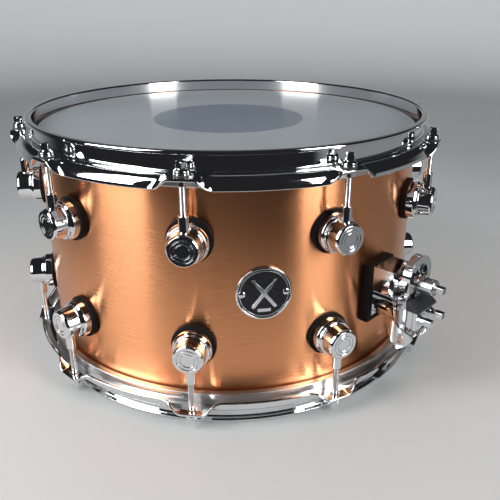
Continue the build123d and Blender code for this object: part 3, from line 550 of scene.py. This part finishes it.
# ---- Shell and heads ----
def make_shell():
    """A thin wall with folded bearing edges, a shallow bed for the snares below, and the vent's hole."""
    wall, crown, tip, fold = 1.5, 175.8, 170.5, 2.12
    inside, run, shoulder = SHELL_R - wall, crown - tip, 0.8
    crown_in, crown_out = crown - 0.3, crown + 0.4
    fold_end = fold + 0.7
    top, low = SHELL_HIGH, SHELL_LOW
    outline = [(tip, top - run), (crown_in, top), (crown_out, top), (SHELL_R, top - shoulder),
               (SHELL_R, low + shoulder), (crown_out, low), (crown_in, low), (tip, low + run),
               (tip, low + run + fold), (inside, low + fold_end), (inside, top - fold_end),
               (tip, top - run - fold)]
    radii = [0.2, 0.3, 0.3, 0.4, 0.4, 0.3, 0.3, 0.2, 0.2, 1.0, 1.0, 0.2]
    points, faces = lathe(rounded(outline, radii, steps=3), steps=720)
    bed_depth, bed_half, bed_top, bed_fade = 1.5, 40, 12, 8
    near_edge = np.clip((low + bed_top - points[:, 2]) / bed_fade, 0, 1)
    across = np.clip(1 - (points[:, 1] / bed_half) ** 2, 0, 1)
    points[:, 2] += bed_depth * near_edge * across ** 1.5
    shell = piece("shell_brushed", (points, faces), COPPER, ["shell"])
    bore_r, bore_half = 7.0, 12
    bore = lathe([(0, -bore_half), (bore_r, -bore_half), (bore_r, bore_half), (0, bore_half)], steps=48)
    cut(shell, moved(bore, outward(VENT_ANGLE, MID_Z) @ Matrix.Translation((0, 0, SHELL_R))))


def make_vent():
    """A ring that grips the wall from both sides; its profile is (radius, height over the shell)."""
    outline = [(5.5, -2.7), (8.0, -2.7), (8.0, -1.7), (6.9, -1.6), (6.9, 0.0), (9.7, 0.0),
               (9.4, 0.9), (8.6, 1.2), (5.5, 1.2)]
    radii = [0.4, 0.3, 0.2, 0.1, 0.1, 0.1, 0.3, 0.3, 0.5]
    ring = lathe(rounded(outline, radii, steps=3), steps=64)
    piece("vent_ring", wrapped(ring, VENT_ANGLE, MID_Z), RUBBER, ["vent_grommet"])


def make_heads():
    """Each head is one sheet that turns down into a collar; the upper one carries the dot."""
    flat, collar_r, foot_r = 175.6, 177.3, 178.7
    top, thin = FILM_TOP, 0.25
    outside, bend, lip, flare = collar_r + thin, 1.6, 0.37, 1.4
    foot = box_mm("batter_film_collar")[0][2]
    outline = [(0, top), (flat, top), (outside, top - bend), (outside, foot + bend),
               (foot_r, foot + lip), (foot_r, foot), (collar_r, foot + flare), (collar_r, top - bend),
               (flat, top - thin), (0, top - thin)]
    radii = [0, 1.6, 1.2, 0.8, 0.1, 0.1, 0.8, 1.0, 1.6, 0]
    skin = lathe(rounded(outline, radii, steps=4, closed=False), steps=360, closed=False)
    piece("batter_head", skin, FILM, ["batter_film", "batter_film_collar"])
    lower = upside_down(skin)
    piece("snare_side_head", lower, FILM, ["snare_side_film", "snare_side_film_collar"])
    dot_r = box_mm("batter_dot")[1][0]
    outline = [(0, top), (dot_r, top), (dot_r, top + thin), (0, top + thin)]
    disc = lathe(rounded(outline, [0, 0.05, 0.15, 0], steps=3, closed=False), steps=256, closed=False)
    piece("batter_dot_disc", disc, DOT_FILM, ["batter_dot"])
    low, high = box_mm("batter_flesh_hoop")
    outline = [(foot_r, low[2]), (high[0], low[2]), (high[0], high[2]), (foot_r, high[2])]
    band = lathe(rounded(outline, [0.6, 0.8, 0.5, 0.5], steps=3), steps=360)
    piece("batter_flesh_ring", band, ALUMINIUM, ["batter_flesh_hoop"])
    piece("snare_side_flesh_ring", upside_down(band), ALUMINIUM, ["snare_side_flesh_hoop"])


# ---- Hoops ----
SHEET = 2.6
LIP_INNER, LIP_OUTER, WALL_OUTER = 179.7, 186.0, 182.4
BEND_R = 186.7              # the shelf starts to turn down here
BEND_OUTER = 8.9
EAR_R = 200.6
SKIRT_BEND = math.radians(88)
SKIRT_STRAIGHT = 2.0
EAR_FLAT = math.radians(2.5)
SKIRT_FULL = math.radians(8.0)


def hoop_turns():
    """Angles round the hoop, closer together where the skirt grows out of the ears."""
    half = LUG_STEP / 2
    stretches = ((0, EAR_FLAT, 4), (EAR_FLAT, SKIRT_FULL, 16), (SKIRT_FULL, half, 18))
    one_side = np.concatenate([np.linspace(*stretch, endpoint=False) for stretch in stretches])
    period = np.concatenate([one_side, LUG_STEP - np.append(one_side[1:], half)[::-1]])
    return np.concatenate([FIRST_LUG + i * LUG_STEP + period for i in range(LUG_COUNT)])


def hoop_section(share):
    """The cross-section (radius, height) where the flange is turned down by a share of its full bend."""
    bend = SKIRT_BEND * share
    flat = EAR_R - BEND_R
    total = flat + (BEND_OUTER * SKIRT_BEND + SKIRT_STRAIGHT - flat) * share
    edge, edge_steps, run_steps = 0.8, 4, 18
    centre_z = SHELF_Z - BEND_OUTER

    def at(s, depth):
        turn = min(s / BEND_OUTER, bend)
        rest = max(0.0, s - BEND_OUTER * bend)
        r = BEND_R + (BEND_OUTER - depth) * math.sin(turn) + rest * math.cos(turn)
        z = centre_z + (BEND_OUTER - depth) * math.cos(turn) - rest * math.sin(turn)
        return r, z

    runs = np.linspace(0, total - edge, run_steps)[1:]
    outer = [at(s, 0) for s in runs]
    tip = []
    for k in range(1, edge_steps + 1):
        a = QUARTER_TURN * k / edge_steps
        tip.append(at(total - edge * (1 - math.sin(a)), edge * (1 - math.cos(a))))
    for k in range(edge_steps + 1):
        a = QUARTER_TURN * k / edge_steps
        tip.append(at(total - edge * (1 - math.cos(a)), SHEET - edge * (1 - math.sin(a))))
    inner = [at(s, SHEET) for s in runs[::-1][1:]]
    body = [(BEND_R, SHELF_Z - SHEET), (LIP_INNER, SHELF_Z - SHEET), (LIP_INNER, HEIGHT),
            (LIP_OUTER, HEIGHT), (LIP_OUTER, HEIGHT - SHEET), (WALL_OUTER, HEIGHT - SHEET),
            (WALL_OUTER, SHELF_Z), (BEND_R, SHELF_Z)]
    radii = [0, 1.2, 1.8, 2.3, 0.25, 1.0, 1.6, 0]
    return np.concatenate([rounded(body, radii, steps=6, closed=False), outer, tip, inner])


def hoop_mesh():
    turns = hoop_turns()
    rows = []
    for turn in turns:
        off = abs((turn - FIRST_LUG + LUG_STEP / 2) % LUG_STEP - LUG_STEP / 2)
        t = min(1.0, max(0.0, (off - EAR_FLAT) / (SKIRT_FULL - EAR_FLAT)))
        radius, height = hoop_section(t * t * (3 - 2 * t)).T
        rows.append(np.stack([radius * math.cos(turn), radius * math.sin(turn), height], 1))
    return np.concatenate(rows), grid_faces(len(rows), len(rows[0]), True, True)


def make_hoops():
    """Both hoops, drilled for the rods; the lower one also has two openings for the snare straps."""
    mesh = hoop_mesh()
    top = piece("top_rim", mesh, HOOP_CHROME, ["top_hoop"])
    bottom = piece("bottom_rim", upside_down(mesh), HOOP_CHROME, ["bottom_hoop"])
    hole_r, hole_half = 3.2, 8
    drill = lathe([(0, -hole_half), (hole_r, -hole_half), (hole_r, hole_half), (0, hole_half)], steps=24)
    for hoop, side, shelf in ((top, "top", SHELF_Z), (bottom, "bottom", HEIGHT - SHELF_Z)):
        cut(hoop, joined(*[shifted(drill, p[0], p[1], shelf) for p in ROD_PLACES[side]]))
    half, low, high = 13.0, 7.7, 15.3
    inner_r, outer_r = 174, 187
    outline = [(-half, low), (half, low), (half, high), (-half, high)]
    gate = plate(outline, inner_r, outer_r, edge=0.01, edge_steps=1)
    cut(bottom, joined(moved(gate, outward(0, 0)), moved(gate, outward(math.pi, 0))))


# ---- Lugs, rods and what holds them ----
def make_lugs():
    """Round housings: a base with a step, a body that tapers a little, and a face with two turned grooves."""
    back, front = SHELL_R + GASKET_THICK, SHELL_R + 24.5
    step = back + 9.5
    outer_groove, ridge, inner_groove, centre = front - 0.8, front - 0.1, front - 0.9, front - 0.3
    base = [(0, back), (16.3, back), (16.3, back + 6.2), (15.0, back + 7.9), (14.6, step)]
    body = [(13.3, step), (12.75, back + 19.2), (12.3, front - 1.0), (11.4, front)]
    face = [(9.0, front), (8.8, outer_groove), (8.3, outer_groove), (8.1, ridge), (6.2, ridge),
            (6.0, inner_groove), (5.5, inner_groove), (5.3, centre), (0, centre)]
    radii = [0, 0.4, 1.5, 0.4, 0.4, 0.3, 0.5, 0.6, 0.6, 0.12, 0.1, 0.1, 0.12, 0.12, 0.1, 0.1, 0.12, 0]
    lug = lathe(rounded(base + body + face, radii, steps=4, closed=False), steps=96, closed=False)
    for side in SIDES:
        mesh = joined(*[moved(lug, outward(a, LUG_Z[side])) for a in LUG_ANGLES])
        piece(f"{side}_lug_bodies", mesh, LUG_CHROME, [f"{side}_lugs"])


def make_lug_gaskets():
    """Rubber discs, flat in front and fitted to the round shell behind."""
    pad_r, on_face = 18.3, 0.01
    rim = [(0, 0), (6, 0), (12, 0), (16, 0), (pad_r, 0), (pad_r, GASKET_THICK), (0, GASKET_THICK)]
    outline = rounded(rim, [0, 0, 0, 0, 0, 0.5, 0], steps=4, closed=False)
    points, faces = lathe(outline, steps=72, closed=False)
    on_shell = points[:, 2] < on_face
    points[:, 2] += SHELL_R
    points[on_shell, 2] = np.sqrt(SHELL_R ** 2 - points[on_shell, 0] ** 2)
    mesh = joined(*[moved((points, faces), outward(a, LUG_Z[side])) for side in SIDES for a in LUG_ANGLES])
    piece("lug_pads", mesh, RUBBER, ["lug_gaskets"])


def make_tube_nuts():
    """The threaded tubes that stand out of the lugs and take the rods."""
    bore_r, tube_r = 2.6, 3.9
    for side in SIDES:
        low, high = box_mm(f"{side}_tube_nuts")
        start, end = (low[2], high[2]) if side == "top" else (HEIGHT - high[2], HEIGHT - low[2])
        outline = [(bore_r, start), (tube_r, start), (tube_r, end), (bore_r, end)]
        sleeve = lathe(rounded(outline, [0.2, 0.3, 0.7, 0.3], steps=4), steps=40)
        if side == "bottom":
            sleeve = upside_down(sleeve)
        mesh = joined(*[shifted(sleeve, p[0], p[1]) for p in ROD_PLACES[side]])
        piece(f"{side}_sleeves", mesh, LUG_CHROME, [f"{side}_tube_nuts"])


def thread(low, high, radius):
    """A screw thread between two heights, rising with the angle."""
    pitch, depth, sides, rings_per_turn = 1.06, 0.3, 18, 4
    heights = np.arange(low, high, pitch / rings_per_turn)
    turns = np.arange(sides) / sides
    phase = (heights[:, None] / pitch - turns[None, :]) % 1.0
    radii = radius - 2 * depth * np.abs(phase - 0.5)
    points = np.stack([radii * np.cos(FULL_TURN * turns), radii * np.sin(FULL_TURN * turns),
                       np.repeat(heights[:, None], sides, 1)], 2)
    faces = grid_faces(len(heights), sides, False, True)
    faces.append(tuple(range(sides))[::-1])
    faces.append(tuple(range((len(heights) - 1) * sides, len(heights) * sides)))
    return points.reshape(-1, 3), faces


def rod_mesh():
    """A tension rod at the origin, head up, with its heights those of the top row."""
    low, tip = (corner[2] for corner in box_mm("top_rod_01"))
    neck, collar, waist = SHELF_Z - 7.5, SHELF_Z + 2.45, SHELF_Z + 5.9
    rod_r, collar_r, cone_r, waist_r = 2.5, 5.3, 3.9, 3.5
    cone_top, collar_top = waist - 0.6, collar + 1.5
    outline = [(0, neck), (rod_r, neck), (rod_r, collar), (collar_r, collar), (collar_r, collar_top),
               (cone_r, cone_top), (waist_r, waist), (0, waist)]
    profile = rounded(outline, [0, 0.5, 0.1, 0.3, 0.7, 1.2, 0.3, 0], steps=4, closed=False)
    shank = lathe(profile, steps=40, closed=False)
    head_half, head_corner = 3.0, 0.75
    rings = ((0.25, cone_top), (0.0, waist - 0.2), (0.0, tip - 1.1), (0.12, tip - 0.6),
             (0.5, tip - 0.2), (1.1, tip))
    sections = []
    for inset, z in rings:
        h = head_half - inset
        sections.append(at_height(rounded([(-h, -h), (h, -h), (h, h), (-h, h)], head_corner, steps=4), z))
    overlap = 0.6
    return joined(shank, thread(low, neck + overlap, rod_r), loft(sections))


def make_rods():
    """Twenty rods; each square head stands at its own angle."""
    head_twist = 0.7
    mesh = rod_mesh()
    for side in SIDES:
        one = mesh if side == "top" else upside_down(mesh)
        for i, place in enumerate(ROD_PLACES[side], 1):
            name = f"{side}_rod_{i:02d}"
            turn = Matrix.Translation((place[0], place[1], 0)) @ Matrix.Rotation(head_twist * i, 4, "Z")
            piece(f"{name}_screw", moved(one, turn), ROD_CHROME, [name], body=name)


def make_washers():
    """A nylon ring on the shelf and a steel one on top of it, under each rod's collar."""
    bore_r, ring_r, thick = 2.7, 5.6, 1.2
    for name, start, material, slot, node in (
            ("nylon_rings", SHELF_Z, NYLON, "washer_nylon", "nylon_washers"),
            ("steel_rings", SHELF_Z + thick, WASHER_STEEL, "washer_steel", "steel_washers")):
        outline = [(bore_r, start), (ring_r, start), (ring_r, start + thick), (bore_r, start + thick)]
        ring = lathe(rounded(outline, [0.15, 0.3, 0.3, 0.15], steps=3), steps=48)
        rings = [shifted(ring, p[0], p[1]) for p in ROD_PLACES["top"]]
        rings += [shifted(upside_down(ring), p[0], p[1]) for p in ROD_PLACES["bottom"]]
        piece(name, joined(*rings), material, [node])


# ---- Badge ----
RELIEF_LOW = 0.85           # the drawing's foot, just under the face of the black field


def make_badge():
    """A black field in a silver rim, with a drawing in low relief: a ring, two drumsticks and a bar."""
    rim_in, rim_out, back, field_top, rim_top = 20.45, 22.35, 0.05, 0.9, 1.5
    field_r = rim_in + 0.4
    field = rounded([(0, back), (field_r, back), (field_r, field_top), (0, field_top)], [0, 0.1, 0.1, 0],
                    steps=2, closed=False)
    disc = lathe(refined(field, longest=1.5), steps=96, closed=False)
    piece("badge_field", wrapped(disc, BADGE_ANGLE, MID_Z), ENAMEL, ["badge_plate"])
    outline = [(rim_in, back), (rim_out, back), (rim_out, rim_top), (rim_in, rim_top)]
    rim = lathe(rounded(outline, [0.1, 0.1, 0.6, 0.5], steps=4), steps=128)
    ring_in, ring_out, ring_top = 18.9, 19.5, 1.02
    outline = [(ring_in, RELIEF_LOW), (ring_out, RELIEF_LOW), (ring_out, ring_top), (ring_in, ring_top)]
    ring = lathe(rounded(outline, 0.06, steps=2), steps=128)
    lean = math.radians(38)
    sticks = joined(*[moved(drumstick(), Matrix.Rotation(sign * lean, 4, "Z")) for sign in (-1, 1)])
    bar_half, bar_low, bar_high = 5.2, -15.6, -12.8
    outline = rounded([(-bar_half, bar_low), (bar_half, bar_low), (bar_half, bar_high), (-bar_half, bar_high)],
                      0.3, steps=3)
    bar = plate(refined(outline, longest=1.0), RELIEF_LOW, 1.05, edge=0.06, edge_steps=2)
    silver = wrapped(joined(rim, ring, sticks, bar), BADGE_ANGLE, MID_Z)
    piece("badge_relief", silver, BADGE_SILVER, ["badge_plate"])


def drumstick():
    """A drumstick in low relief, along Y."""
    half = [(0.0, -15.2), (1.1, -14.9), (1.45, -14.0), (1.45, 6.0), (0.75, 11.4), (0.7, 11.9), (1.15, 13.0),
            (1.05, 14.3), (0.0, 15.2)]
    outline = half + [(-x, y) for x, y in half[-2:0:-1]]
    return plate(refined(outline, longest=1.2), RELIEF_LOW, 1.3, edge=0.2, edge_steps=3)


def make_rivets():
    """Two rivets through the badge, with a domed head in front and a flat one inside the shell."""
    turn = math.asin(17.4 / SHELL_R)
    outline = [(0, 0.9), (2.8, 0.9), (2.7, 1.3), (1.9, 1.75), (0, 1.9)]
    head = lathe(rounded(outline, [0, 0.05, 0.3, 0.6, 0], steps=3, closed=False), steps=40, closed=False)
    outline = [(0, -2.2), (2.6, -2.2), (2.6, -1.5), (0, -1.5)]
    back = lathe(rounded(outline, [0, 0.4, 0.1, 0], steps=3, closed=False), steps=40, closed=False)
    both = [wrapped(part, BADGE_ANGLE + s * turn, MID_Z) for s in (-1, 1) for part in (head, back)]
    piece("badge_pins", joined(*both), BADGE_SILVER, ["badge_rivets"])


# ---- Snares and straps ----
def make_snares():
    """Twenty coiled wires between two end plates."""
    low, high = box_mm("snare_wires")
    length = high[0] - low[0]
    wires, pitch, coil_turn, coil_r, points_per_turn = 20, 2.2, 1.9, 0.58, 9
    z = (low[2] + high[2]) / 2
    turns = length / coil_turn
    t = np.linspace(0, turns * FULL_TURN, int(turns * points_per_turn))
    coils = []
    for i in range(wires):
        y = (i - (wires - 1) / 2) * pitch
        path = np.stack([low[0] + length * t / t[-1], y + coil_r * np.cos(t), z + coil_r * np.sin(t)], 1)
        coils.append(helix(path, radius=0.2, sides=4))
    piece("snare_coils", joined(*coils), WIRE_STEEL, ["snare_wires"], body="snares")
    low, high = box_mm("snare_end_plates")
    plate_length = 13.0
    ends = []
    for side in (-1, 1):
        outer, inner = side * high[0], side * (high[0] - plate_length)
        outline = [(inner, low[1]), (outer, low[1]), (outer, high[1]), (inner, high[1])]
        ends.append(plate(rounded(outline, 1.5, steps=4), low[2], high[2], edge=0.2, edge_steps=2))
    piece("snare_ends", joined(*ends), WIRE_STEEL, ["snare_end_plates"], body="snares")


def helix(path, radius, sides):
    """A tube along a coil that runs along X."""
    along = np.gradient(path, axis=0)
    along /= np.linalg.norm(along, axis=1)[:, None]
    side = np.cross(along, [1.0, 0.0, 0.0])
    side /= np.linalg.norm(side, axis=1)[:, None]
    up = np.cross(side, along)
    turn = np.arange(sides) * FULL_TURN / sides
    points = (path[:, None, :] + radius * (np.cos(turn)[None, :, None] * side[:, None, :]
                                           + np.sin(turn)[None, :, None] * up[:, None, :]))
    count = len(path)
    faces = grid_faces(count, sides, False, True)
    faces.append(tuple(range(sides)))
    faces.append(tuple(range((count - 1) * sides, count * sides)))
    return points.reshape(-1, 3), faces


def strap_mesh(line):
    """A strap as wide as its CAD node, along a line in the X-Z plane, thickened to its left."""
    along = np.gradient(line, axis=0)
    along /= np.linalg.norm(along, axis=1)[:, None]
    left = np.stack([-along[:, 1], along[:, 0]], 1)
    half = box_mm("butt_strap")[1][1]
    thick, edge = 0.4, 0.12
    around = [(-half + edge, 0.0), (half - edge, 0.0), (half, edge), (half, thick - edge),
              (half - edge, thick), (-half + edge, thick), (-half, thick - edge), (-half, edge)]
    sections = []
    for point, normal in zip(line, left):
        sections.append([(point[0] + normal[0] * d, y, point[1] + normal[1] * d) for y, d in around])
    return loft(sections)


def strap_line(points, radii):
    """The strap's route with its corners rounded and its points close together."""
    line = rounded(points, radii, steps=8, closed=False)
    return np.array(divided(line[:-1], line[1:], longest=1.5) + [line[-1]])


def strap_piece(name, line, node):
    obj = make_object(name, strap_mesh(line), STRAP_FILM)
    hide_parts(node)
    return obj


def make_straps():
    """Each strap is two pieces that meet at the drum's edge."""
    seam_x, seam_z = 190.0, 10.5
    corners = [(153, seam_z), (193.6, seam_z), (200, 21.5), (222.1, 72.5), (222.1, 88.7)]
    route = strap_line(corners, [0, 3, 5, 6, 0])
    split = int(np.argmin(np.abs(route[:, 0] - seam_x) + np.abs(route[:, 1] - seam_z)))
    inner = strap_piece("throwoff_strap_inner", route[:split + 1], "throwoff_strap")
    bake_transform(inner)
    outer = strap_piece("throwoff_strap_outer", route[split:], "throwoff_strap")
    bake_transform(outer)
    corners = [(-196.4, 81.5), (-196.4, 62), (-200, 21.5), (-193.6, seam_z), (-153, seam_z)]
    route = strap_line(corners, [0, 6, 5, 3, 0])
    split = int(np.argmin(np.abs(route[:, 0] + seam_x) + np.abs(route[:, 1] - seam_z)))
    inner = strap_piece("butt_strap_inner", route[split:], "butt_strap")
    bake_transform(inner)
    outer = strap_piece("butt_strap_outer", route[:split + 1], "butt_strap")
    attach(outer, "root")


# ---- CAD nodes that are shown as they are, with softened edges ----
def soften(node, material, width):
    """Material and rounded edges for a CAD node; its flat faces are joined up so that they shade flat."""
    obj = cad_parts[node]
    obj.data.materials.clear()
    obj.data.materials.append(material)
    obj.data.shade_smooth()
    weld = obj.modifiers.new("weld", "WELD")
    weld.merge_threshold = 1e-6
    flat = obj.modifiers.new("flat", "DECIMATE")
    flat.decimate_type = "DISSOLVE"
    flat.angle_limit = math.radians(1)
    bevel = obj.modifiers.new("bevel", "BEVEL")
    bevel.width = width * MM
    bevel.segments = 3
    bevel.limit_method = "ANGLE"
    bevel.angle_limit = math.radians(35)
    normals = obj.modifiers.new("normals", "WEIGHTED_NORMAL")
    normals.mode = "FACE_AREA_WITH_ANGLE"
    normals.weight = 100


SOFTENED = (                # material, width of the rounded edges in millimetres, nodes
    (ZINC, 0.25, ("lug_screws", "inner_washers", "throwoff_mounting_screws", "butt_mounting_screws")),
    (STRAINER_CHROME, 0.9, ("throwoff_base", "throwoff_lever", "butt_base", "butt_clamp_plate")),
    (STRAINER_CHROME, 0.3, ("throwoff_pivot_screws", "throwoff_clamp_plate", "throwoff_clamp_screws",
                            "butt_clamp_screws", "throwoff_slide_block")),
    (RUBBER, 0.4, ("throwoff_gasket", "butt_gasket")),
    (BLACK_COATING, 0.5, ("throwoff_block_cover",)),
    (TURNED, 0.4, ("throwoff_tension_knob",)),
)


# ---- Floor, backdrop, light and camera, in metres ----
def make_stage():
    """A floor that rises into a backdrop; mirrors see only the part round the drum, and dark beyond it."""
    near, middle_ring, rise, wall_top, arc_steps = 0.40, 0.9, 0.9, 3.2, 12
    disc_x, disc_y, under_disc = -35, -80, -0.02
    disc = lathe([(0, 0), (near / MM / 2, 0), (near / MM, 0)], steps=96, closed=False)
    floor = make_object("floor_near", shifted(disc, disc_x, disc_y), FLOOR, weighted=False)
    flat_end = WALL_DISTANCE - rise
    wall = [(r / MM, under_disc) for r in (0, near, middle_ring, flat_end)]
    for k in range(1, arc_steps + 1):
        a = QUARTER_TURN * k / arc_steps
        wall.append(((flat_end + rise * math.sin(a)) / MM, rise * (1 - math.cos(a)) / MM))
    wall.append((WALL_DISTANCE / MM, wall_top / MM))
    sweep = make_object("floor_and_wall", lathe(wall, steps=96, closed=False), FLOOR, weighted=False)
    sweep.visible_glossy = False
    for obj in (floor, sweep):
        obj.location.z = -0.0002
        if obj.data.polygons[0].normal.z < 0:
            obj.data.flip_normals()


def soft_light(name, place, aim, width, height, power, colour=(1, 1, 1)):
    data = bpy.data.lights.new(name, "AREA")
    data.shape = "RECTANGLE"
    data.size, data.size_y = width, height
    data.energy = power
    data.color = colour
    obj = bpy.data.objects.new(name, data)
    bpy.context.scene.collection.objects.link(obj)
    obj.location = place
    obj.rotation_euler = (Vector(aim) - Vector(place)).to_track_quat("-Z", "Y").to_euler()
    obj.visible_camera = False
    return obj


def make_lights():
    """Two upright panels, which the copper mirrors as bands, and a wide light overhead."""
    warm, panel_aim, panel_height = (1, 0.99, 0.97), (0, 0, 0.68), 1.05
    soft_light("left_panel", (-0.15, -0.80, 0.68), panel_aim, 0.42, panel_height, power=11.5, colour=warm)
    soft_light("right_panel", (1.40, 0.10, 0.68), panel_aim, 0.5, panel_height, power=19, colour=warm)
    top = soft_light("ceiling_panel", (-0.4, 0.5, 2.2), (0, 0, 0.11), 2.4, 2.4, power=11)
    top.visible_glossy = False


def soft_step(world, value, start, end, most=1.0):
    """Rises smoothly from 0 to most as the value goes from start to end."""
    node = add_node(world, "ShaderNodeMapRange", interpolation_type="SMOOTHSTEP")
    node.inputs["From Min"].default_value = start
    node.inputs["From Max"].default_value = end
    node.inputs["To Max"].default_value = most
    link(world, value, node.inputs["Value"])
    return node.outputs["Result"]


def towards(world, place, direction):
    """How far a ray points along a direction."""
    node = add_node(world, "ShaderNodeVectorMath", operation="DOT_PRODUCT")
    node.inputs[1].default_value = direction
    link(world, place, node.inputs[0])
    return node.outputs["Value"]


def room_tone(world):
    """What mirrors see: a dark room, pale low down behind the drum and below the horizon on one side."""
    place = add_node(world, "ShaderNodeTexCoord").outputs["Generated"]
    split = add_node(world, "ShaderNodeSeparateXYZ")
    link(world, place, split.inputs["Vector"])
    up = split.outputs["Z"]
    behind = soft_step(world, towards(world, place, (-0.70, 0.71, 0.0)), start=0.25, end=0.75)
    low_down = soft_step(world, up, start=0.30, end=0.12)
    beside = soft_step(world, towards(world, place, (0.75, 0.66, 0.0)), start=0.74, end=0.83, most=0.75)
    below = soft_step(world, up, start=-0.02, end=-0.16)
    band = combined(world, "MULTIPLY", behind, low_down)
    pale_floor = combined(world, "MULTIPLY", beside, below)
    ramp = add_node(world, "ShaderNodeValToRGB")
    ramp.color_ramp.elements[0].color = (0.018, 0.018, 0.02, 1)
    ramp.color_ramp.elements[1].color = (0.33, 0.335, 0.34, 1)
    link(world, combined(world, "MAXIMUM", band, pale_floor), ramp.inputs["Fac"])
    return ramp.outputs["Color"]


def make_world():
    world = bpy.data.worlds.new("studio")
    bpy.context.scene.world = world
    world.use_nodes = True
    world.node_tree.nodes.clear()
    ambient = add_node(world, "ShaderNodeBackground")
    ambient.inputs["Color"].default_value = (0.97, 0.985, 1.0, 1)
    ambient.inputs["Strength"].default_value = 0.20
    room = add_node(world, "ShaderNodeBackground")
    link(world, room_tone(world), room.inputs["Color"])
    rays = add_node(world, "ShaderNodeLightPath")
    mix = add_node(world, "ShaderNodeMixShader")
    link(world, rays.outputs["Is Glossy Ray"], mix.inputs["Fac"])
    link(world, ambient.outputs["Background"], mix.inputs[1])
    link(world, room.outputs["Background"], mix.inputs[2])
    output = add_node(world, "ShaderNodeOutputWorld")
    link(world, mix.outputs["Shader"], output.inputs["Surface"])


def make_camera():
    data = bpy.data.cameras.new("camera")
    data.lens = 44.17
    data.sensor_width = 36.0
    camera = bpy.data.objects.new("camera", data)
    bpy.context.scene.collection.objects.link(camera)
    camera.location = (0.4266, -0.4170, 0.3288)
    heading, pitch = math.radians(133.64), math.radians(-22.98)
    gaze = Vector((math.cos(pitch) * math.cos(heading), math.cos(pitch) * math.sin(heading), math.sin(pitch)))
    camera.rotation_euler = gaze.to_track_quat("-Z", "Y").to_euler()
    bpy.context.scene.camera = camera


make_shell()
make_vent()
make_heads()
make_hoops()
make_lugs()
make_lug_gaskets()
make_tube_nuts()
make_rods()
make_washers()
make_badge()
make_rivets()
make_snares()
make_straps()
for finish, width, nodes in SOFTENED:
    for node in nodes:
        soften(node, finish, width)
make_stage()
make_lights()
make_world()
make_camera()
bpy.context.scene.view_settings.view_transform = "Standard"
